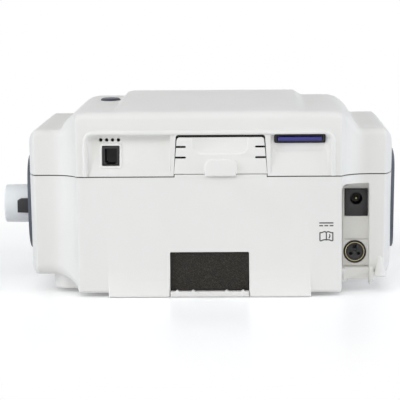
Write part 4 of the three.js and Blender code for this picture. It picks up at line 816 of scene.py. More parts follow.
# ---- Details of the lower shell ----
def foot_panel():
    """The panel that comes out of the rear wall in a hollow curve and stands proud at the table."""
    foot = TABLE_GAP / 2 - STAND_HEIGHT
    back = REAR_Y + WALL / 2
    rings = []
    for share in [0.0, 0.012, FOOT_PANEL_ROUND_SHARE] + shares(24)[2:]:
        height = mix(foot, FOOT_PANEL_HEIGHT, share)
        stand = FOOT_PANEL_FLARE * (1 - share) ** 2
        stand -= FOOT_PANEL_ROUND * (1 - math.sqrt(clamp01(share / FOOT_PANEL_ROUND_SHARE)))
        wall = REAR_Y + REAR_LEAN * (height - TABLE_GAP) / (BLOCK_HEIGHT - TABLE_GAP)
        face = wall + FOOT_PANEL_SINK * share - stand
        edge = face + stand * FOOT_PANEL_EDGE_SHARE
        right = [(FOOT_PANEL_HALF_WIDTH, back)]
        right += [(FOOT_PANEL_HALF_WIDTH - FOOT_PANEL_SIDE * inwards, mix(edge, face, 1 - out))
                  for inwards, out in quarter_round(1, EDGE_STEPS * 2)]
        rings.append([(x, y, height) for x, y in right + [(-x, y) for x, y in reversed(right)]])
    return loft("foot_panel", rings)


def teardrop_boss():
    """The teardrop beside the niche: a half round foot that runs up to a point."""
    rings = []
    wing_y = REAR_Y + STEP_DEPTH
    for share in TEARDROP_STEPS:
        rounding = mix(TEARDROP_FOOT_SHARE, 1, math.sqrt(clamp01(share / TEARDROP_ROUND_SHARE)))
        narrow = math.sqrt(1 - share) * rounding
        height = mix(TEARDROP_FOOT, TEARDROP_TOP, share)
        ring = [(TEARDROP_X + math.cos(math.pi * turn) * TEARDROP_RADIUS * narrow,
                 wing_y - math.sin(math.pi * turn) * TEARDROP_STAND * narrow, height) for turn in shares(20)]
        ring += [(TEARDROP_X + side * TEARDROP_RADIUS * narrow, wing_y + WALL, height) for side in (-1, 1)]
        rings.append(ring)
    return loft("teardrop", rings)


def niche_outline(grow):
    return round_outline(NICHE_LEFT, NICHE_FOOT, NICHE_RIGHT, NICHE_TOP,
                         [0, 0, NICHE_RIGHT_CORNER, NICHE_CORNER], grow)


def filter_cutter():
    return stack("filter_hole", lambda grow: round_outline(
        -FILTER_HALF_WIDTH, -OVERRUN * 2, FILTER_HALF_WIDTH, FILTER_TOP,
        [0, 0, FILTER_CORNER, FILTER_CORNER], grow),
        mouth_levels(REAR_Y - FOOT_PANEL_FLARE / 5, REAR_Y + FILTER_POCKET, MOUTH_EDGE), along_y)


def niche_cutter():
    return stack("niche", niche_outline,
                 [(REAR_Y - OVERRUN, 0.0), (REAR_Y + NICHE_DEPTH + OVERRUN, 0.0)], along_y)


def outlet_cutter():
    return stack("outlet_room", lambda grow: circle_outline(
        (OUTLET_Y, OUTLET_HEIGHT), OUTLET_RADIUS + OUTLET_CLEARANCE, grow),
        [(-WING_HALF_WIDTH - 4 * OVERRUN, 0.0), (-WING_HALF_WIDTH / 2, 0.0)], along_x)


def foot_cutters():
    places = [(side * FOOT_X, y) for y in (FOOT_REAR_Y, FOOT_FRONT_Y) for side in (-1, 1)]
    return [stack("foot_hole", lambda grow, place=place: circle_outline(
        place, FOOT_RADIUS + SEAT_GAP, grow, SMALL_CIRCLE_STEPS),
        [(-OVERRUN, 0.0), (TABLE_GAP + FOOT_RECESS, 0.0)], along_z) for place in places]


def cover_land():
    """The low land on the rear wall that the cover stands over, inside the opening of the bay."""
    return stack("land", lambda grow: round_outline(
        BAY_LEFT + COVER_SIDE_GAP + SEAT_GAP, PARTING_HEIGHT - WALL, BAY_RIGHT - COVER_SIDE_GAP - SEAT_GAP,
        PARTING_HEIGHT + COVER_LAND_HEIGHT, [0, 0, LAND_CORNER, LAND_CORNER], grow),
        plate_levels(REAR_Y + REAR_LEAN, REAR_Y + WALL, LAND_EDGE, HIDDEN_EDGE), along_y)


def niche_rib():
    """The end of the ledge, which hangs from the wing beside the niche, and the short rib under it."""
    end = box_between((NICHE_RIGHT, REAR_Y + STEP_DEPTH + LEDGE_END_INSET, LEDGE_FOOT),
                      (NICHE_RIGHT + LEDGE_END_WIDTH, REAR_Y + LEDGE_BACK, WING_LIFT + LEDGE_END_RISE))
    rib = box_between((NICHE_RIGHT, REAR_Y + LEDGE_RIB_FRONT, LEDGE_FOOT - LEDGE_RIB_DROP),
                      (NICHE_RIGHT + LEDGE_RIB_WIDTH, REAR_Y + LEDGE_RIB_BACK, LEDGE_FOOT + BITE))
    return soften(join(end, rib), SOFT_EDGE)


def lower_shell():
    """The tub: the body below the parting line and the base under it, with its openings."""
    base_top = WING_LIFT + WALL * 2
    below = PARTING_HEIGHT - PARTING_GAP / 2
    shell = join(overlap(body_form(0), slab(-OVERRUN, below)), base_block(0, TABLE_GAP, base_top))
    room = join(overlap(body_form(WALL), slab(-OVERRUN, PARTING_HEIGHT + OVERRUN)),
                base_block(WALL, TABLE_GAP + WALL, base_top + OVERRUN))
    cut(shell, room)
    join(shell, foot_panel(), teardrop_boss(), cover_land())
    cut(shell, filter_cutter(), niche_cutter(), outlet_cutter(), control_cutter(), *foot_cutters())
    return join(shell, niche_rib())


def parting_strip():
    """The tongue that fills the joint between the two shells, set back from the surface; it stops light through the
    gap, and its dark colour is painted shade of the joint.
    """
    half = PARTING_GAP / 2 - STRIP_ROOM
    strip = overlap(body_form(STRIP_SET_BACK), slab(PARTING_HEIGHT - half, PARTING_HEIGHT + half))
    return cut(strip, body_form(WALL - STRIP_BITE))


# ---- Side panels ----
def side_panel(side):
    """A domed oval with squared shoulders that stands on the wing's end and follows its form."""
    def ring(x, grow):
        points = []
        for step in range(LARGE_OVAL_STEPS):
            turn = 2 * math.pi * step / LARGE_OVAL_STEPS
            power = 2 / PANEL_POWER
            u, v = (math.copysign(abs(value) ** power, value) for value in (math.cos(turn), math.sin(turn)))
            points.append((side * x, (PANEL_HALF_DEPTH + grow) * u,
                           PANEL_CENTRE_HEIGHT + (PANEL_HEIGHT / 2 + grow) * v))
        return points
    rim = WING_HALF_WIDTH + PANEL_STAND
    crown = [ring(rim + PANEL_STAND * place, grow) for place, grow in PANEL_CROWN]
    oval = loft("oval", [ring(WING_HALF_WIDTH - WING_ROUND_WIDTH, 0)] + crown)
    panel = cut(overlap(body_form(-PANEL_STAND), oval), body_form(-PANEL_BITE))
    if side < 0:
        cut(panel, outlet_cutter())
    return panel


# ---- Pieces taken from the CAD solids, with whole faces and rounded edges ----
def rounded_copy(node, name, edge, angle=SHARP_ANGLE, segments=3):
    """A CAD piece with its facets joined into whole faces and its edges rounded."""
    piece = bpy.data.objects.new(name, nodes[node].data.copy())
    bpy.context.scene.collection.objects.link(piece)
    tidy = bmesh.new()
    tidy.from_mesh(piece.data)
    bmesh.ops.remove_doubles(tidy, verts=tidy.verts, dist=1e-6)
    bmesh.ops.dissolve_limit(tidy, angle_limit=math.radians(1), verts=tidy.verts, edges=tidy.edges)
    bmesh.ops.recalc_face_normals(tidy, faces=tidy.faces)
    tidy.to_mesh(piece.data)
    tidy.free()
    return soften(piece, edge, angle, segments) if edge else piece


def wedge_piece():
    """The black block beside the outlet, carried on into the side panel that it stands on."""
    wedge = rounded_copy("outlet_stop", "outlet_wedge", 0)
    reach = in_machine(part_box("outlet_stop")[1]).x
    for corner in wedge.data.vertices:
        if in_machine(corner.co).x > reach - 0.1:
            corner.co.x += WEDGE_ROOT * MM
    return soften(wedge, WEDGE_EDGE, segments=3)


# ---- Accessory cover ----
COVER_FACE_Y = REAR_Y + COVER_SET_BACK
COVER_FOOT = PARTING_HEIGHT + COVER_LAND_HEIGHT + SEAT_GAP


def cover_slot(side, height):
    """One of the cover's four slots, open to its side edge."""
    inner = COVER_X + side * (COVER_TOP_WIDTH / 2 - COVER_SLOT_LENGTH)
    outer = COVER_X + side * (COVER_FOOT_WIDTH / 2 + OVERRUN)
    left, right = sorted((inner, outer))
    half = COVER_SLOT_HEIGHT / 2
    return stack("slot", lambda grow: round_outline(
        left, height - half, right, height + half, [half - LEAST_RADIUS] * 4, grow),
        mouth_levels(COVER_FACE_Y, REAR_Y + OVERRUN, SOFT_EDGE), along_y)


def cover_relief():
    """The shallow hollow in the cover's face, open at its top."""
    half = COVER_RELIEF_WIDTH / 2
    floor = COVER_FACE_Y + COVER_RELIEF_DEPTH
    levels = [(COVER_FACE_Y - OVERRUN, 0.5), (COVER_FACE_Y, 0.5), (mix(COVER_FACE_Y, floor, 0.5), 0.15),
              (floor, -0.3)]
    return stack("relief", lambda grow: round_outline(
        COVER_X - half, COVER_RELIEF_FOOT, COVER_X + half, RECESS_TOP + OVERRUN,
        [COVER_RELIEF_CORNER, COVER_RELIEF_CORNER, 0, 0], grow), levels, along_y)


def cover_piece():
    """The accessory cover: a plate with slots and a relief, and the finger tab that hangs over the tub."""
    plate = stack("cover", lambda grow: cover_outline(0, 0, COVER_FOOT, grow),
                  plate_levels(COVER_FACE_Y, COVER_FACE_Y + COVER_THICKNESS, COVER_EDGE, BACK_EDGE), along_y)
    slots = [cover_slot(side, height) for height in COVER_SLOT_HEIGHTS for side in (-1, 1)]
    cut(plate, *slots, cover_relief())
    tab_half = COVER_TAB_WIDTH / 2
    tab_back = REAR_Y - SEAT_GAP
    tab_face = tab_back - COVER_TAB_THICKNESS

    def tab_outline(foot):
        return lambda grow: round_outline(
            COVER_X - tab_half, foot, COVER_X + tab_half, COVER_TAB_TOP,
            [TAB_FOOT_CORNER, TAB_FOOT_CORNER, COVER_TAB_CORNER, COVER_TAB_CORNER], grow)
    tab = stack("tab", tab_outline(COVER_TAB_FOOT),
                plate_levels(tab_face, tab_back, TAB_EDGE, BACK_EDGE), along_y)
    root = stack("tab_root", tab_outline(COVER_FOOT), [
        (tab_face + COVER_TAB_THICKNESS / 2, 0.0), (COVER_FACE_Y - 0.3, 0.0), (COVER_FACE_Y, TAB_ROOT_GROW),
        (COVER_FACE_Y + COVER_THICKNESS / 2, TAB_ROOT_GROW)], along_y)
    above_foot = box_between((-WING_HALF_WIDTH, -BODY_DEPTH, COVER_FOOT), (WING_HALF_WIDTH, 0, CREST_HEIGHT))
    return join(plate, tab, overlap(root, above_foot))


# ---- Air outlet ----
outlet_low, outlet_high = box_in_machine(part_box("outlet_port"))
OUTLET_BORE = 8.6
OUTLET_BORE_CHAMFER = 0.4
OUTLET_FLANGE_RADIUS = 14
OUTLET_FLANGE = 2.4
OUTLET_TAPER_SHARE = 0.025
OUTLET_LIP = 1
OUTLET_LIP_SHARE = 0.9


def outlet_piece():
    """The hose's cone: a taper with a rounded lip, a bore, and the flange that holds it in the wing."""
    start, tip = -outlet_high.x, -outlet_low.x
    root = OUTLET_RADIUS + (tip - start) * OUTLET_TAPER_SHARE / 2
    lip = [(OUTLET_RADIUS - back * OUTLET_LIP_SHARE, tip - out) for back, out in quarter_round(OUTLET_LIP, 5)]
    profile = [
        (OUTLET_BORE, start), (OUTLET_FLANGE_RADIUS, start), (OUTLET_FLANGE_RADIUS, start + OUTLET_FLANGE),
        (root, start + OUTLET_FLANGE), *lip, (OUTLET_BORE + OUTLET_BORE_CHAMFER, tip),
        (OUTLET_BORE, tip - OUTLET_BORE_CHAMFER), (OUTLET_BORE, start),
    ]

    def lay(u, v, place):
        return (-place, OUTLET_Y + u, OUTLET_HEIGHT + v)
    return turned("outlet", profile, lay, LARGE_OVAL_STEPS)


# ---- Start button: an oval with a rounded rim ----
start_low, start_high = box_in_machine(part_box("start_button"))
START_FLANGE = 1.2
START_FLANGE_THICKNESS = 1
START_PROUD = 1.1


def start_piece():
    flange_top = start_low.z + START_FLANGE_THICKNESS
    crown = start_high.z
    levels = [(start_low.z, START_FLANGE), (flange_top, START_FLANGE), (flange_top, 0.0)]
    levels += [(crown - out, -back) for back, out in quarter_round(START_PROUD, 5)]
    levels += [(crown, -2.4), (crown, -4.2)]
    return stack("start", lambda grow: oval_outline(
        (START_X, START_Y), START_HALF_WIDTH, START_HALF_DEPTH, grow), levels, along_z)


# ---- Display side ----
CONTROL_THICKNESS = 4.3
CONTROL_FLANGE = 2
CONTROL_FLANGE_THICKNESS = 1.5
CONTROL_EDGE = 0.6
LENS_WIDTH = 80
LENS_LENGTH = 38
LENS_THICKNESS = 2
LENS_CORNER = 4
LENS_SHIFT = 8.5
LENS_GAP = 0.3
LENS_BORDER = 6
LENS_EDGE = 0.35
KEY_ROW = 17
KEY_PITCH = 16.5
KEY_HALF_WIDTH = 5.5
KEY_HALF_LENGTH = 3.6
KEY_PROUD = 1.2
KEY_EDGE = 0.8
KEY_FLANGE = 0.6
KEY_FLANGE_THICKNESS = 1
ROCKER_HALF_WIDTH = 4.6
ROCKER_HALF_LENGTH = 5
KEY_STEPS = {"alarm_button": -2, "ramp_button": -1, "left_button": 1, "right_button": 2}


def lens_outline(grow):
    return round_outline(-LENS_WIDTH / 2, -LENS_SHIFT - LENS_LENGTH / 2,
                         LENS_WIDTH / 2, -LENS_SHIFT + LENS_LENGTH / 2, [LENS_CORNER] * 4, grow)


def key_outline(x):
    return lambda grow: round_outline(
        x - KEY_HALF_WIDTH, KEY_ROW - KEY_HALF_LENGTH, x + KEY_HALF_WIDTH, KEY_ROW + KEY_HALF_LENGTH,
        [KEY_HALF_LENGTH - LEAST_RADIUS] * 4, grow)


def rocker_outline(grow):
    return round_outline(
        -ROCKER_HALF_WIDTH, KEY_ROW - ROCKER_HALF_LENGTH, ROCKER_HALF_WIDTH, KEY_ROW + ROCKER_HALF_LENGTH,
        [ROCKER_HALF_WIDTH - LEAST_RADIUS] * 4, grow)


def control_piece():
    """The dark panel on the slope: a flange under the shell, a pocket for the lens and holes for the keys."""
    back = -CONTROL_THICKNESS
    panel = stack("control", control_outline, plate_levels(back, 0, BACK_EDGE, CONTROL_EDGE), on_slope)
    flange = stack("flange", lambda grow: control_outline(grow + CONTROL_FLANGE),
                   plate_levels(back, back + CONTROL_FLANGE_THICKNESS, BACK_EDGE, BACK_EDGE), on_slope)
    join(panel, flange)
    pocket = stack("pocket", lambda grow: lens_outline(grow + LENS_GAP),
                   mouth_levels(0, -LENS_THICKNESS - SEAT_GAP, KEY_HOLE_EDGE), on_slope)
    window = stack("window", lambda grow: lens_outline(grow - LENS_BORDER),
                   [(OVERRUN, 0.0), (-OVERRUN, 0.0)], on_slope)
    outlines = [key_outline(step * KEY_PITCH) for step in KEY_STEPS.values()] + [rocker_outline]
    holes = [stack("key_hole", lambda grow, outline=outline: outline(grow + KEY_CLEARANCE),
                   mouth_levels(0, -OVERRUN, KEY_HOLE_EDGE), on_slope) for outline in outlines]
    return cut(panel, pocket, window, *holes)


def lens_piece():
    return stack("lens", lens_outline, plate_levels(-LENS_THICKNESS, 0, BACK_EDGE, LENS_EDGE), on_slope)


def key_piece(outline, flange_outline):
    """A key with a rounded top edge and the flange that keeps it in the panel."""
    flange_top = -CONTROL_THICKNESS - SEAT_GAP
    levels = [(flange_top - KEY_FLANGE_THICKNESS / 2, 0.0), (KEY_PROUD - KEY_EDGE, 0.0)]
    levels += [(KEY_PROUD - out, -back) for back, out in quarter_round(KEY_EDGE, 4)[1:]]
    key = stack("key", outline, levels, on_slope)
    flange = stack("key_flange", flange_outline, plate_levels(
        flange_top - KEY_FLANGE_THICKNESS, flange_top, BACK_EDGE, BACK_EDGE), on_slope)
    return join(key, flange)


# ---- Connectors in the niche ----
RING_THICKNESS = 0.5
SHIELD_RADIUS = 5.3
SHIELD_THICKNESS = 0.28
SHIELD_STAND = 0.12
SHIELD_DEPTH = 0.6


def about_y(low, high):
    """Lays a turned profile on the axis that runs from rear to front through the middle of a box."""
    x, z = (low.x + high.x) / 2, (low.z + high.z) / 2
    return lambda u, v, place: (x + u, place, z + v)


def connector_rooms():
    """The rooms that the inlet and the round socket take through the back of the pan."""
    inlet_low, inlet_high = box_in_machine(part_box("dc_inlet"))
    ring_low, ring_high = box_in_machine(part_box("serial_socket_ring"))
    middle = ((ring_low.x + ring_high.x) / 2, (ring_low.z + ring_high.z) / 2)
    radius = (ring_high.x - ring_low.x) / 2
    return [
        box_between((inlet_low.x, -BODY_DEPTH, inlet_low.z), (inlet_high.x, 0, inlet_high.z)),
        stack("socket_room", lambda grow: circle_outline(middle, radius, grow),
              [(-BODY_DEPTH, 0.0), (0.0, 0.0)], along_y),
    ]


def pan_piece():
    """The pan behind the niche: its thin walls stand behind the edge of the opening and close the room."""
    pan = rounded_copy("connector_panel", "connector_pan", 0)
    low, high = box_in_machine(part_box("connector_panel"))
    face = in_machine(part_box("dc_inlet")[0]).y
    ledge_top = LEDGE_FOOT + LEDGE_HEIGHT
    cut(pan, box_between((low.x - 1, -BODY_DEPTH, ledge_top), (high.x + 1, face - PAN_ROOM, high.z + 1)))
    left, right, top = NICHE_LEFT + PAN_ROOM, NICHE_RIGHT + PAN_ROOM, NICHE_TOP + PAN_ROOM
    walls = overlap(box_between((left - PAN_WALL, -BODY_DEPTH, ledge_top - WALL),
                                (right + PAN_WALL, face + PAN_WALL * 2, top + PAN_WALL)), body_form(PAN_SKIN))
    cut(walls, box_between((left, -BODY_DEPTH, 0), (right, face + PAN_WALL, top)), *connector_rooms())
    ledge_end = box_between((left - PAN_WALL, low.y + PAN_ROOM, LEDGE_FOOT),
                            (low.x + BITE, high.y, ledge_top - HIDDEN_EDGE))
    return soften(join(pan, walls, ledge_end), SOFT_EDGE)


def ring_piece():
    """The round socket's rim, with small rounds on its rear edge."""
    low, high = box_in_machine(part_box("serial_socket_ring"))
    outer = (high.x - low.x) / 2
    inner = outer - RING_THICKNESS
    front, back = low.y, high.y
    profile = [(inner, front + 0.15), (inner + 0.12, front), (outer - 0.15, front), (outer, front + 0.2),
               (outer, back), (inner, back), (inner, front + 0.15)]
    return turned("ring", profile, about_y(low, high))


def shield_piece():
    """The thin edge of the metal shield that shows in the round socket's face."""
    front = in_machine(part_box("serial_socket")[0]).y
    inner, outer = SHIELD_RADIUS - SHIELD_THICKNESS, SHIELD_RADIUS
    start, end = front - SHIELD_STAND, front + SHIELD_DEPTH
    profile = [(inner, start), (outer, start), (outer, end), (inner, end), (inner, start)]
    return turned("shield", profile, about_y(*box_in_machine(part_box("serial_socket_ring"))))


def pin_piece():
    """The inlet's pin, with a round nose."""
    low, high = box_in_machine(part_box("dc_inlet_pin"))
    radius = (high.z - low.z) / 2
    nose = [(radius - out, low.y + back) for back, out in quarter_round(radius, 6)]
    profile = [(0.0, low.y)] + nose[1:] + [(radius, high.y), (0.0, high.y)]
    return turned("pin", profile, about_y(low, high), SMALL_CIRCLE_STEPS)


# ---- Filter: open-cell foam in the inlet ----
FOAM_COLUMNS = 150
FOAM_ROWS = 76
FOAM_EDGE = 0.7
FOAM_CELL_DEPTH = 0.16


def foam_piece():
    """A slab of foam: its cut face is uneven where cells lie open, and its edges are soft."""
    low, high = box_in_machine(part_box("foam_filter"))
    centre = (low + high) / 2
    half = (high - low) / 2
    face, back = [], []
    for row in range(FOAM_ROWS + 1):
        for column in range(FOAM_COLUMNS + 1):
            u, v = 2 * column / FOAM_COLUMNS - 1, 2 * row / FOAM_ROWS - 1
            x, z = centre.x + half.x * u, centre.z + half.z * v
            rim = min(half.x * (1 - abs(u)), half.z * (1 - abs(v)))
            soft = FOAM_EDGE * (1 - math.sqrt(clamp01(1 - (1 - clamp01(rim / FOAM_EDGE)) ** 2)))
            # Waves of about 1 mm, bent by one another so that no row of cells shows
            cells = math.sin(x * 5.1 + 2.3 * math.sin(z * 3.7)) * math.sin(z * 5.9 + 1.9 * math.sin(x * 4.3))
            cells += 0.6 * math.sin(x * 11.3 + z * 3.1) * math.sin(z * 12.7 - x * 2.9)
            face.append((x, low.y + soft + FOAM_CELL_DEPTH * (1 + cells / 1.6), z))
            back.append((x, high.y, z))
    first_back = len(face)
    width = FOAM_COLUMNS + 1
    faces = []
    for row in range(FOAM_ROWS):
        for column in range(FOAM_COLUMNS):
            a = row * width + column
            b = first_back + a
            faces.append((a, a + 1, a + width + 1, a + width))
            faces.append((b, b + width, b + width + 1, b + 1))
    rim_path = list(range(FOAM_COLUMNS)) + [row * width + FOAM_COLUMNS for row in range(FOAM_ROWS)]
    rim_path += [FOAM_ROWS * width + column for column in range(FOAM_COLUMNS, 0, -1)]
    rim_path += [row * width for row in range(FOAM_ROWS, 0, -1)]
    for here, after in zip(rim_path, rim_path[1:] + rim_path[:1]):
        faces.append((here, first_back + here, first_back + after, after))
    return make_piece("foam", face + back, faces)


# ---- Feet ----
def foot_piece(node):
    low, high = box_in_machine(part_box(node))
    x, y = (low.x + high.x) / 2, (low.y + high.y) / 2
    rim = [(FOOT_RADIUS - out, low.z + back) for back, out in quarter_round(FOOT_EDGE, 4)]
    profile = [(0.0, low.z)] + rim + [(FOOT_RADIUS, high.z), (0.0, high.z)]
    return turned(node + "_turned", profile, lambda u, v, place: (x + u, y + v, place), FOOT_STEPS)


# ---- Printed signs on the rear ----
SIGN_LEFT = 59.8
SIGN_RIGHT = 67.5
SIGN_STAND = 0.05
SIGN_STROKE = 0.64
BAR_FOOT = 38.75
DASH_FOOT = 37.25
BAR_HEIGHT = 0.68
DASH_SHARE = 0.27
BOOK_TOP = 33.7
BOOK_FOOT = 29.8
# One page of the book from its spine outwards: how far across, and how far its edges rise there
PAGE_TOP = [(0, 0), (0.35, 0.4), (0.9, 0.62), (1.7, 0.42), (2.5, 0.1), (3.5, 0.02)]
PAGE_FOOT = [(0, 0), (0.9, 0.12), (1.9, -0.08), (2.7, -0.42), (3.2, -0.52), (3.5, -0.2)]
PAGE_MARK = [(1.75, 32.7), (1.95, 31.9), (1.5, 30.9)]


def on_rear(u, v, w):
    return (u, REAR_Y + REAR_LEAN * v / BLOCK_HEIGHT - w, v)


def printed_patch(outline):
    return stack("ink", lambda grow: outline, [(-SIGN_STAND, 0.0), (SIGN_STAND, 0.0)], on_rear)


def printed_bar(left, foot, right, top):
    return printed_patch([(left, foot), (right, foot), (right, top), (left, top)])


def printed_line(start, end, width):
    """A straight stroke of ink with round ends between two places on the rear."""
    along = Vector(end) - Vector(start)
    turn = math.atan2(along.y, along.x)
    outline = []
    for place, first in ((end, -90), (start, 90)):
        for share in shares(8):
            angle = turn + math.radians(first + 180 * share)
            outline.append((place[0] + width / 2 * math.cos(angle), place[1] + width / 2 * math.sin(angle)))
    return printed_patch(outline)


def direct_current_sign():
    """The usual sign of direct current: a bar over three dashes."""
    bar = printed_bar(SIGN_LEFT, BAR_FOOT, SIGN_RIGHT, BAR_FOOT + BAR_HEIGHT)
    dash = (SIGN_RIGHT - SIGN_LEFT) * DASH_SHARE
    pitch = (SIGN_RIGHT - SIGN_LEFT - dash) / 2
    for index in range(3):
        left = SIGN_LEFT + index * pitch
        join(bar, printed_bar(left, DASH_FOOT, left + dash, DASH_FOOT + BAR_HEIGHT))
    return bar


def manual_sign():
    """The usual sign for reading the manual: an open book with a mark on its right page."""
    middle = (SIGN_LEFT + SIGN_RIGHT) / 2
    strokes = [((middle, BOOK_FOOT), (middle, BOOK_TOP))]
    for side in (-1, 1):
        for level, page in ((BOOK_TOP, PAGE_TOP), (BOOK_FOOT, PAGE_FOOT)):
            places = [(middle + side * across, level + rise) for across, rise in page]
            strokes += list(zip(places, places[1:]))
        edge = middle + side * PAGE_TOP[-1][0]
        strokes.append(((edge, BOOK_FOOT + PAGE_FOOT[-1][1]), (edge, BOOK_TOP + PAGE_TOP[-1][1])))
    places = [(middle + across, height) for across, height in PAGE_MARK]
    strokes += list(zip(places, places[1:]))
    sign = printed_line(*strokes[0], SIGN_STROKE)
    join(sign, *[printed_line(start, end, SIGN_STROKE) for start, end in strokes[1:]])
    return sign


# ---- Finishes ----
def linear(hex_colour):
    """A colour written as sRGB hex, turned to linear values."""
    values = []
    for start in (0, 2, 4):
        value = int(hex_colour[start:start + 2], 16) / 255
        values.append(value / 12.92 if value <= 0.04045 else ((value + 0.055) / 1.055) ** 2.4)
    return (*values, 1.0)


def add_node(tree, kind, inputs=None, **settings):
    """Adds a node with its settings; each input is a value or another node's output."""
    node = tree.nodes.new(kind)
    for setting, value in settings.items():
        setattr(node, setting, value)
    for socket, value in (inputs or {}).items():
        if isinstance(value, bpy.types.NodeSocket):
            tree.links.new(value, node.inputs[socket])
        else:
            node.inputs[socket].default_value = value
    return node


def new_finish(name, **uniform):
    """A finish with a principled shader, its uniform values set on the shader's own sockets."""
    finish = bpy.data.materials.new(name)
    finish.use_nodes = True
    tree = finish.node_tree
    tree.nodes.clear()
    surface = add_node(tree, "ShaderNodeBsdfPrincipled", uniform)
    add_node(tree, "ShaderNodeOutputMaterial", {"Surface": surface.outputs["BSDF"]})
    place = add_node(tree, "ShaderNodeTexCoord")
    in_mm = add_node(tree, "ShaderNodeVectorMath", {"Vector": place.outputs["Object"], "Scale": 1 / MM},
                     operation="SCALE")
    return finish, tree, surface, in_mm.outputs["Vector"]


def noise_of(tree, where, size_mm, detail=3.0, stretch=(1, 1, 1)):
    """Soft noise whose grains are size_mm apart."""
    spread = add_node(tree, "ShaderNodeVectorMath", {0: where, 1: stretch}, operation="MULTIPLY")
    return add_node(tree, "ShaderNodeTexNoise", {"Vector": spread.outputs["Vector"], "Scale": 1 / size_mm,
                                                 "Detail": detail, "Roughness": 0.55}).outputs["Fac"]


def spread_of(tree, value, low, high, start=0.3, end=0.7):
    """A noise value turned to a range."""
    return add_node(tree, "ShaderNodeMapRange", {"Value": value, "From Min": start, "From Max": end,
                                                 "To Min": low, "To Max": high}).outputs["Result"]


def colours_of(tree, value, *stops):
    """A value turned to colours, from (place, hex) pairs."""
    ramp = add_node(tree, "ShaderNodeValToRGB", {"Fac": value})
    while len(ramp.color_ramp.elements) < len(stops):
        ramp.color_ramp.elements.new(0.5)
    for element, (place, colour) in zip(ramp.color_ramp.elements, stops):
        element.position = place
        element.color = linear(colour)
    return ramp.outputs["Color"]


def raise_by(tree, height, depth_mm, strength=1.0, below=None):
    """A bump whose height of 1 stands depth_mm out of the surface."""
    inputs = {"Height": height, "Distance": depth_mm * MM, "Strength": strength}
    if below is not None:
        inputs["Normal"] = below
    return add_node(tree, "ShaderNodeBump", inputs).outputs["Normal"]


def moulded_finish(name, colour, deep_colour, gloss, grain_mm, grain_depth_mm, **uniform):
    """Injection-moulded plastic: a fine spark-eroded grain, slow waves of sink and a gloss that varies."""
    finish, tree, surface, where = new_finish(name, **uniform)
    clouds = noise_of(tree, where, 38, 2.0)
    grain = noise_of(tree, where, grain_mm, 2.0)
    tree.links.new(colours_of(tree, clouds, (0.3, deep_colour), (0.7, colour)), surface.inputs["Base Color"])
    rough = add_node(tree, "ShaderNodeMath", {
        0: spread_of(tree, grain, gloss - 0.05, gloss + 0.05),
        1: spread_of(tree, noise_of(tree, where, 14), -0.03, 0.03)}, operation="ADD")
    tree.links.new(rough.outputs["Value"], surface.inputs["Roughness"])
    sink = raise_by(tree, noise_of(tree, where, 24, 1.0), 0.03, 0.5)
    tree.links.new(raise_by(tree, grain, grain_depth_mm, 0.5, sink), surface.inputs["Normal"])
    return finish


def rubber_finish(name, colour, worn_colour, gloss, grain_mm):
    """Moulded rubber: dull, faintly mottled, with a skin of small pits."""
    finish, tree, surface, where = new_finish(name, IOR=1.5, **{
        "Specular IOR Level": 0.35, "Sheen Weight": 0.06, "Sheen Roughness": 0.5})
    mottle = noise_of(tree, where, 3.5, 4.0)
    tree.links.new(colours_of(tree, mottle, (0.3, colour), (0.75, worn_colour)), surface.inputs["Base Color"])
    tree.links.new(spread_of(tree, mottle, gloss - 0.08, gloss + 0.06), surface.inputs["Roughness"])
    pits = add_node(tree, "ShaderNodeTexVoronoi", {"Vector": where, "Scale": 1 / grain_mm},
                    feature="SMOOTH_F1")
    tree.links.new(raise_by(tree, pits.outputs["Distance"], 0.03, 0.6), surface.inputs["Normal"])
    return finish


def metal_finish(name, colour, dark_colour, gloss, stretch, line_mm):
    """Drawn or turned metal: fine tool lines that stretch the highlight, and a slightly cloudy colour."""
    finish, tree, surface, where = new_finish(name, Metallic=1.0)
    lines = noise_of(tree, where, line_mm, 3.0, stretch)
    clouds = noise_of(tree, where, 5, 3.0)
    tree.links.new(colours_of(tree, clouds, (0.3, dark_colour), (0.7, colour)), surface.inputs["Base Color"])
    tree.links.new(spread_of(tree, lines, gloss - 0.08, gloss + 0.1), surface.inputs["Roughness"])
    tree.links.new(raise_by(tree, lines, 0.01, 0.5), surface.inputs["Normal"])
    return finish


def white_abs():
    """White ABS from a polished, lightly eroded mould: satin, so broad soft highlights, faintly warm."""
    return moulded_finish("white_abs_satin_moulded", "ECEBE7", "E9E8E4", 0.46, 0.5, 0.012, IOR=1.53,
                          **{"Specular IOR Level": 0.22})


def cover_abs():
    """The same ABS from a second mould: a shade whiter and a little glossier."""
    return moulded_finish("white_abs_cover_moulded", "EDECE8", "EAE9E5", 0.42, 0.5, 0.01, IOR=1.53,
                          **{"Specular IOR Level": 0.35})


def port_polypropylene():
    """White polypropylene: a waxy soft gloss and a cooler white than the shells."""
    return moulded_finish("white_polypropylene_moulded", "F6F8F8", "F2F5F5", 0.42, 0.7, 0.012, IOR=1.49)


def blue_grey_abs():
    """Blue-grey ABS with a fine leather-like erosion: matt next to the white shells."""
    return moulded_finish("blue_grey_abs_moulded", "545A66", "4C525D", 0.5, 0.6, 0.03, IOR=1.53)


def black_pbt():
    """Black PBT of connectors: hard, evenly eroded, dark grey where it catches light."""
    return moulded_finish("black_pbt_moulded", "17171A", "111113", 0.46, 0.3, 0.02, IOR=1.55)


def matt_black_abs():
    """Matt black ABS of deep inner walls."""
    return moulded_finish("black_abs_matt_moulded", "1D1C1C", "161515", 0.6, 0.4, 0.02, IOR=1.53)


def blue_card_plastic():
    """Blue polycarbonate of a memory card: glossy with a fine grain."""
    return moulded_finish("blue_polycarbonate_moulded", "2A2A86", "232375", 0.34, 0.3, 0.008, IOR=1.58)


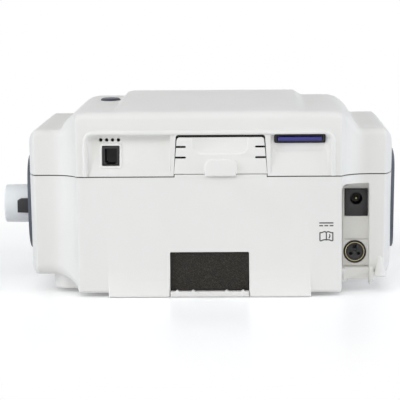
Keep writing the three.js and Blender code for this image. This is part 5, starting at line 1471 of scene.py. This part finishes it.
def inner_nylon():
    """Natural nylon of inner parts: off-white, waxy."""
    return moulded_finish("natural_nylon_moulded", "CFCCC0", "C5C1B4", 0.48, 0.8, 0.02, IOR=1.53)


def gasket_rubber():
    """Dark brown-grey rubber in the joint of the shells: its dark colour is painted shade of the gap between them.
    """
    return rubber_finish("brown_grey_painted_joint_shade", "453F35", "504A3F", 0.85, 0.35)


def key_elastomer():
    """Dark grey elastomer of the keys: soft to the touch, dull, with a blue cast."""
    return rubber_finish("dark_grey_key_elastomer", "3A3E48", "444955", 0.6, 0.3)


def foot_elastomer():
    """Grey rubber of feet and blower mounts."""
    return rubber_finish("grey_foot_rubber", "55565A", "606166", 0.75, 0.4)


def silicone():
    """Grey silicone: a soft gloss with light let in under its skin."""
    finish, tree, surface, where = new_finish("grey_moulded_silicone", IOR=1.43, **{
        "Subsurface Weight": 0.15, "Subsurface Radius": (0.0015, 0.0014, 0.0013), "Subsurface Scale": 1.0})
    mottle = noise_of(tree, where, 6, 3.0)
    tree.links.new(colours_of(tree, mottle, (0.3, "8B8E92"), (0.7, "9A9DA1")), surface.inputs["Base Color"])
    tree.links.new(spread_of(tree, noise_of(tree, where, 1.5), 0.34, 0.48), surface.inputs["Roughness"])
    tree.links.new(raise_by(tree, noise_of(tree, where, 0.6), 0.02, 0.4), surface.inputs["Normal"])
    return finish


def plated_steel():
    """Nickel-plated steel of screws, socket ring and motor case: bright, with lines from the lathe."""
    return metal_finish("nickel_plated_turned_steel", "B9BABC", "9C9EA2", 0.3, (1, 6, 1), 0.5)


def plated_brass():
    """Nickel-plated brass of the inlet's pin, a little yellow where the plating is thin."""
    return metal_finish("nickel_plated_brass", "D0C39A", "B3A67E", 0.22, (1, 0.2, 1), 0.3)


def open_cell_foam():
    """Reticulated polyurethane foam: a net of brown-grey struts round cells 0.6 to 1.1 mm wide, with painted shade
    in the open cells and painted light on the struts.
    """
    finish, tree, surface, where = new_finish("brown_grey_open_cell_foam", Roughness=0.92, IOR=1.45, **{
        "Specular IOR Level": 0.2, "Sheen Weight": 0.12, "Sheen Roughness": 0.6})
    # Cells of 0.6 mm would vanish in the render, so the coarser of the two nets is drawn at 1.1 mm
    fine, coarse = (add_node(tree, "ShaderNodeTexVoronoi", {"Vector": where, "Scale": 1 / cell_mm},
                             feature="DISTANCE_TO_EDGE").outputs["Distance"] for cell_mm in (0.6, 1.1))
    struts = add_node(tree, "ShaderNodeMath", {0: fine, 1: coarse}, operation="MINIMUM").outputs["Value"]
    # Painted light: a noise picks the struts that are drawn lit, and the cells between them are left dark as painted
    # shade.
    lit = noise_of(tree, where, 0.45, 3.0)
    painted_strut_light = add_node(tree, "ShaderNodeMath", {0: spread_of(tree, struts, 1.0, 0.0, 0.0, 0.22), 1: lit},
                       operation="MULTIPLY").outputs["Value"]
    # From painted shade deep in the cells, through the foam's brown-grey, to painted light on lit struts.
    tree.links.new(colours_of(tree, painted_strut_light, (0.0, "191613"), (0.35, "2B2824"), (0.62, "565149")),
                   surface.inputs["Base Color"])
    relief = spread_of(tree, struts, 1.0, 0.0, 0.0, 0.3)
    tree.links.new(raise_by(tree, relief, 0.35, 0.9), surface.inputs["Normal"])
    return finish


def filter_felt():
    """Fine white polyester felt: crossed fibres, dull."""
    finish, tree, surface, where = new_finish("white_polyester_felt", Roughness=0.95, IOR=1.5, **{
        "Specular IOR Level": 0.15, "Sheen Weight": 0.2, "Sheen Roughness": 0.5})
    first = noise_of(tree, where, 0.5, 4.0, (0.2, 1, 3))
    second = noise_of(tree, where, 0.5, 4.0, (3, 1, 0.2))
    fibres = add_node(tree, "ShaderNodeMath", {0: first, 1: second}, operation="MAXIMUM").outputs["Value"]
    tree.links.new(colours_of(tree, fibres, (0.35, "C9C8C2"), (0.7, "EAE9E5")), surface.inputs["Base Color"])
    tree.links.new(raise_by(tree, fibres, 0.12, 0.7), surface.inputs["Normal"])
    return finish


def lens_acrylic():
    """Smoked acrylic over the display: polished, with faint wipe marks that show only in its gloss."""
    finish, tree, surface, where = new_finish("smoked_polished_acrylic", IOR=1.49, **{
        "Base Color": linear("6C7480"), "Transmission Weight": 0.85,
        "Coat Weight": 0.2, "Coat Roughness": 0.05})
    wipes = noise_of(tree, where, 2.5, 4.0, (0.15, 1, 1))
    tree.links.new(spread_of(tree, wipes, 0.03, 0.1), surface.inputs["Roughness"])
    tree.links.new(raise_by(tree, noise_of(tree, where, 20, 1.0), 0.02, 0.3), surface.inputs["Normal"])
    return finish


def display_glass():
    """A liquid crystal display that is switched off: grey-green glass over a grid of picture cells."""
    finish, tree, surface, where = new_finish("grey_green_display_glass", IOR=1.52, **{"Coat Weight": 0.5,
                                                                                      "Coat Roughness": 0.06})
    # Picture cells are 0.3 mm wide and are drawn at 0.6 mm so that the grid shows
    cells = add_node(tree, "ShaderNodeTexBrick", {
        "Vector": where, "Scale": 1.0, "Mortar Size": 0.05, "Brick Width": 0.6, "Row Height": 0.6,
        "Color1": linear("5D665F"), "Color2": linear("59625B"), "Mortar": linear("4C544E")}, offset=0.0)
    tree.links.new(cells.outputs["Color"], surface.inputs["Base Color"])
    tree.links.new(spread_of(tree, noise_of(tree, where, 9), 0.16, 0.24), surface.inputs["Roughness"])
    tree.links.new(raise_by(tree, cells.outputs["Fac"], -0.02, 0.4), surface.inputs["Normal"])
    return finish


def circuit_board():
    """Green solder mask over copper traces: the traces stand a little proud and show lighter."""
    finish, tree, surface, where = new_finish("green_solder_mask_board", IOR=1.5, **{"Coat Weight": 0.3,
                                                                                    "Coat Roughness": 0.2})
    traces = add_node(tree, "ShaderNodeTexVoronoi", {"Vector": where, "Scale": 1 / 3.2}, feature="F1",
                      distance="MANHATTAN")
    steps = add_node(tree, "ShaderNodeMath", {0: traces.outputs["Distance"], 1: 0.12},
                     operation="PINGPONG").outputs["Value"]
    lines = spread_of(tree, steps, 0.0, 1.0, 0.05, 0.075)
    tree.links.new(colours_of(tree, lines, (0.2, "1E5A34"), (0.8, "2F7A48")), surface.inputs["Base Color"])
    tree.links.new(spread_of(tree, noise_of(tree, where, 4), 0.3, 0.42), surface.inputs["Roughness"])
    tree.links.new(raise_by(tree, lines, 0.035, 0.7), surface.inputs["Normal"])
    return finish


def printed_ink(name, colour, worn_colour):
    """Pad-printed ink: a thin matt film with slight pinholes."""
    finish, tree, surface, where = new_finish(name, IOR=1.5)
    film = noise_of(tree, where, 0.35, 3.0)
    tree.links.new(colours_of(tree, film, (0.3, colour), (0.75, worn_colour)), surface.inputs["Base Color"])
    tree.links.new(spread_of(tree, film, 0.55, 0.7), surface.inputs["Roughness"])
    return finish


WHITE = white_abs()
COVER_WHITE = cover_abs()
PORT_WHITE = port_polypropylene()
BLUE_GREY = blue_grey_abs()
BLACK = black_pbt()
MATT_BLACK = matt_black_abs()
CARD_BLUE = blue_card_plastic()
NYLON = inner_nylon()
JOINT_SHADE = gasket_rubber()
KEY_RUBBER = key_elastomer()
FOOT_RUBBER = foot_elastomer()
SILICONE = silicone()
STEEL = plated_steel()
BRASS = plated_brass()
FOAM = open_cell_foam()
FELT = filter_felt()
LENS = lens_acrylic()
DISPLAY = display_glass()
BOARD = circuit_board()
SIGN_INK = printed_ink("dark_grey_pad_print_ink", "3B3B3D", "4A4A4C")

SLOT_FINISHES = {
    "shell_white": WHITE, "panel_grey": BLUE_GREY, "black_plastic": BLACK, "card_blue": CARD_BLUE,
    "inner_plastic": NYLON, "pin_brass": BRASS, "bright_metal": STEEL, "filter_foam": FOAM,
    "filter_white": FELT, "key_rubber": KEY_RUBBER, "display_lens": LENS, "display_grey": DISPLAY,
    "board_green": BOARD, "silicone_grey": SILICONE, "foot_rubber": FOOT_RUBBER,
}
NODE_SLOTS = {part["node"]: part["material_slot"] for part in frame["record"]["subparts"]}
NODE_BODIES = {node: body for body, members in frame["record"]["behaviour"]["bodies"].items()
               for node in members}


def give_finish(piece, finish):
    piece.data.materials.clear()
    piece.data.materials.append(finish)


# ---- The machine put together ----
def place_piece(name, piece, node, finish=None, angle=35, stands_for=True):
    """Names a piece, smooths it, and lets it ride on its node's body and stand for the node."""
    piece.name = piece.data.name = name
    shade(piece, angle)
    give_finish(piece, finish or SLOT_FINISHES[NODE_SLOTS[node]])
    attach(piece, NODE_BODIES[node])
    if stands_for:
        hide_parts(node)
    return piece


for node, part in nodes.items():
    give_finish(part, SLOT_FINISHES[NODE_SLOTS[node]])
give_finish(nodes["accessory_bay"], MATT_BLACK)

place_piece("upper_shell", upper_shell(), "upper_housing", WHITE, 30)
place_piece("lower_shell", lower_shell(), "lower_housing", WHITE, 30)
# The strip in the joint closes the gap; its dark brown-grey is painted shade of the joint.
place_piece("shell_joint_shade", parting_strip(), "lower_housing", JOINT_SHADE, stands_for=False)
place_piece("left_oval_panel", side_panel(-1), "left_side_panel")
place_piece("right_oval_panel", side_panel(1), "right_side_panel")
place_piece("bay_door", cover_piece(), "accessory_cover", COVER_WHITE)
place_piece("outlet_cone", outlet_piece(), "outlet_port", PORT_WHITE)
place_piece("outlet_wedge", wedge_piece(), "outlet_stop", BLACK)
place_piece("start_key_cap", start_piece(), "start_button")
place_piece("control_fascia", control_piece(), "control_panel")
place_piece("lens_window", lens_piece(), "display_lens")
for node, key_step in KEY_STEPS.items():
    outline = key_outline(key_step * KEY_PITCH)
    place_piece(node + "_cap", key_piece(outline, lambda grow, outline=outline: outline(grow + KEY_FLANGE)), node)
place_piece("rocker_cap", key_piece(rocker_outline, lambda grow: rocker_outline(grow + KEY_FLANGE)), "rocker_button")
place_piece("jack_body", rounded_copy("network_jack", "jack_body", 0.2), "network_jack")
place_piece("card_body", rounded_copy("data_card", "card_body", 0.25), "data_card")
place_piece("reader_body", rounded_copy("card_reader", "reader_body", 0.15), "card_reader")
place_piece("connector_pan", pan_piece(), "connector_panel")
place_piece("inlet_block", rounded_copy("dc_inlet", "inlet_block", 0.5), "dc_inlet")
place_piece("inlet_pin", pin_piece(), "dc_inlet_pin")
place_piece("round_socket", rounded_copy("serial_socket", "round_socket", 0.2), "serial_socket")
place_piece("socket_ring", ring_piece(), "serial_socket_ring", BLACK)
shield = place_piece("socket_shield", shield_piece(), "serial_socket_ring", BRASS, stands_for=False)
foam = place_piece("inlet_foam", foam_piece(), "foam_filter", angle=60)
place_piece("filter_rail", rounded_copy("filter_sill", "filter_rail", 0.3), "filter_sill", WHITE)
for number in range(1, 5):
    foot_node = "rubber_foot_" + str(number)
    place_piece("foot_pad_" + str(number), foot_piece(foot_node), foot_node)
place_piece("current_sign", direct_current_sign(), "lower_housing", SIGN_INK, stands_for=False)
place_piece("book_sign", manual_sign(), "lower_housing", SIGN_INK, stands_for=False)


# ---- Floor, light and camera ----
FLOOR_HALF_WIDTH = 6000
# The floor looks like card up to the first distance from the machine, and plain white from the second on
NEAR_MM = 170
FAR_MM = 340
NEAR_LIFT = 0.25


def seen_rays(tree):
    """1 for what the camera sees, straight, mirrored or through glass, and 0 for light on the object."""
    path = add_node(tree, "ShaderNodeLightPath")
    seen = path.outputs["Is Camera Ray"]
    for other in ("Is Glossy Ray", "Is Transmission Ray"):
        seen = add_node(tree, "ShaderNodeMath", {0: seen, 1: path.outputs[other]}, operation="ADD",
                        use_clamp=True).outputs["Value"]
    return seen


def studio_floor():
    """White card: it keeps the machine's shadow near it, and runs out into the white background."""
    finish, tree, surface, where = new_finish("white_floor_card", IOR=1.45, **{"Specular IOR Level": 0.2})
    fibres = noise_of(tree, where, 2.5, 4.0)
    tree.links.new(colours_of(tree, fibres, (0.3, "F5F5F5"), (0.7, "F6F6F6")), surface.inputs["Base Color"])
    tree.links.new(spread_of(tree, noise_of(tree, where, 60), 0.3, 0.36), surface.inputs["Roughness"])
    output = next(node for node in tree.nodes if node.type == "OUTPUT_MATERIAL")
    glow = add_node(tree, "ShaderNodeEmission", {"Color": (1, 1, 1, 1), "Strength": 1.0})
    distance = add_node(tree, "ShaderNodeVectorMath", {0: where}, operation="LENGTH").outputs["Value"]
    away = spread_of(tree, distance, 0.0, 1.0, NEAR_MM, FAR_MM)
    seen = seen_rays(tree)
    share = add_node(tree, "ShaderNodeMath", {0: away, 1: seen}, operation="MULTIPLY").outputs["Value"]
    lift = add_node(tree, "ShaderNodeMath", {0: seen, 1: NEAR_LIFT}, operation="MULTIPLY").outputs["Value"]
    haze = add_node(tree, "ShaderNodeEmission", {"Color": (1, 1, 1, 1), "Strength": lift})
    near = add_node(tree, "ShaderNodeAddShader", {0: surface.outputs["BSDF"], 1: haze.outputs["Emission"]})
    blend = add_node(tree, "ShaderNodeMixShader", {
        0: share, 1: near.outputs["Shader"], 2: glow.outputs["Emission"]})
    tree.links.new(blend.outputs["Shader"], output.inputs["Surface"])
    return finish


def floor_piece():
    half = FLOOR_HALF_WIDTH * MM
    mesh = bpy.data.meshes.new("floor")
    mesh.from_pydata([(-half, -half, 0), (half, -half, 0), (half, half, 0), (-half, half, 0)], [],
                     [(0, 1, 2, 3)])
    floor = bpy.data.objects.new("studio_floor", mesh)
    bpy.context.scene.collection.objects.link(floor)
    floor.data.materials.append(studio_floor())
    return floor


floor_piece()


def white_room():
    """A white surround: plain light on the object, and pure white where the camera looks past it."""
    world = bpy.data.worlds.new("white_room")
    bpy.context.scene.world = world
    world.use_nodes = True
    tree = world.node_tree
    tree.nodes.clear()
    lit = add_node(tree, "ShaderNodeBackground", {"Color": linear("EEF3FA"), "Strength": 0.2})
    white = add_node(tree, "ShaderNodeBackground", {"Color": (1, 1, 1, 1), "Strength": 1.0})
    both = add_node(tree, "ShaderNodeMixShader", {
        0: seen_rays(tree), 1: lit.outputs["Background"], 2: white.outputs["Background"]})
    add_node(tree, "ShaderNodeOutputWorld", {"Surface": both.outputs["Shader"]})


white_room()


def soft_lamp(name, place, aim, width, height, power, colour):
    """A rectangular softbox at a place in the library's frame, turned to an aim."""
    light = bpy.data.lights.new(name, "AREA")
    light.shape = "RECTANGLE"
    light.size, light.size_y = width, height
    light.energy = power
    light.color = linear(colour)[:3]
    lamp = bpy.data.objects.new(name, light)
    lamp.location = place
    lamp.rotation_euler = (Vector(aim) - Vector(place)).to_track_quat("-Z", "Y").to_euler()
    bpy.context.scene.collection.objects.link(lamp)


soft_lamp("softbox_over", (0.0, -0.25, 1.3), (0, 0, 0.05), 1.2, 0.9, 3.0, "FBFDFF")
soft_lamp("softbox_high", (0.0, -1.1, 1.0), (0, 0, 0.05), 1.2, 0.8, 6.2, "FFFCF4")
soft_lamp("softbox_low", (0.0, -1.6, 0.15), (0, 0, 0.05), 1.6, 0.3, 0.8, "FFFDF8")
soft_lamp("softbox_left", (-1.2, -0.7, 0.45), (0, -0.05, 0.05), 0.7, 0.9, 8.6, "F0F5FF")
soft_lamp("softbox_right", (1.2, -0.7, 0.45), (0, -0.05, 0.05), 0.7, 0.9, 1.8, "F4F8FF")
soft_lamp("softbox_right_side", (1.3, -0.25, 0.4), (0, -0.03, 0.05), 0.8, 0.8, 6.4, "EAF1FF")

# Where the photograph was taken from, fitted to the places of the details in it
CAMERA_PLACE = (0.0319, -1.2107, 0.1736)
CAMERA_YAW = math.radians(1.485)
CAMERA_PITCH = math.radians(6.117)
CAMERA_ROLL = math.radians(-0.44)
FOCAL_SHARE = 2075.9 / 400
SENSOR_WIDTH = 36


def photo_camera():
    lens = bpy.data.cameras.new("photo_camera")
    lens.sensor_fit = "HORIZONTAL"
    lens.sensor_width = SENSOR_WIDTH
    lens.lens = SENSOR_WIDTH * FOCAL_SHARE
    camera = bpy.data.objects.new("photo_camera", lens)
    camera.matrix_world = Matrix.Translation(CAMERA_PLACE) @ Matrix.Rotation(CAMERA_YAW, 4, "Z") @ \
        Matrix.Rotation(math.pi / 2 - CAMERA_PITCH, 4, "X") @ Matrix.Rotation(CAMERA_ROLL, 4, "Z")
    bpy.context.scene.collection.objects.link(camera)
    bpy.context.scene.camera = camera


photo_camera()
bpy.context.scene.view_settings.view_transform = "Standard"
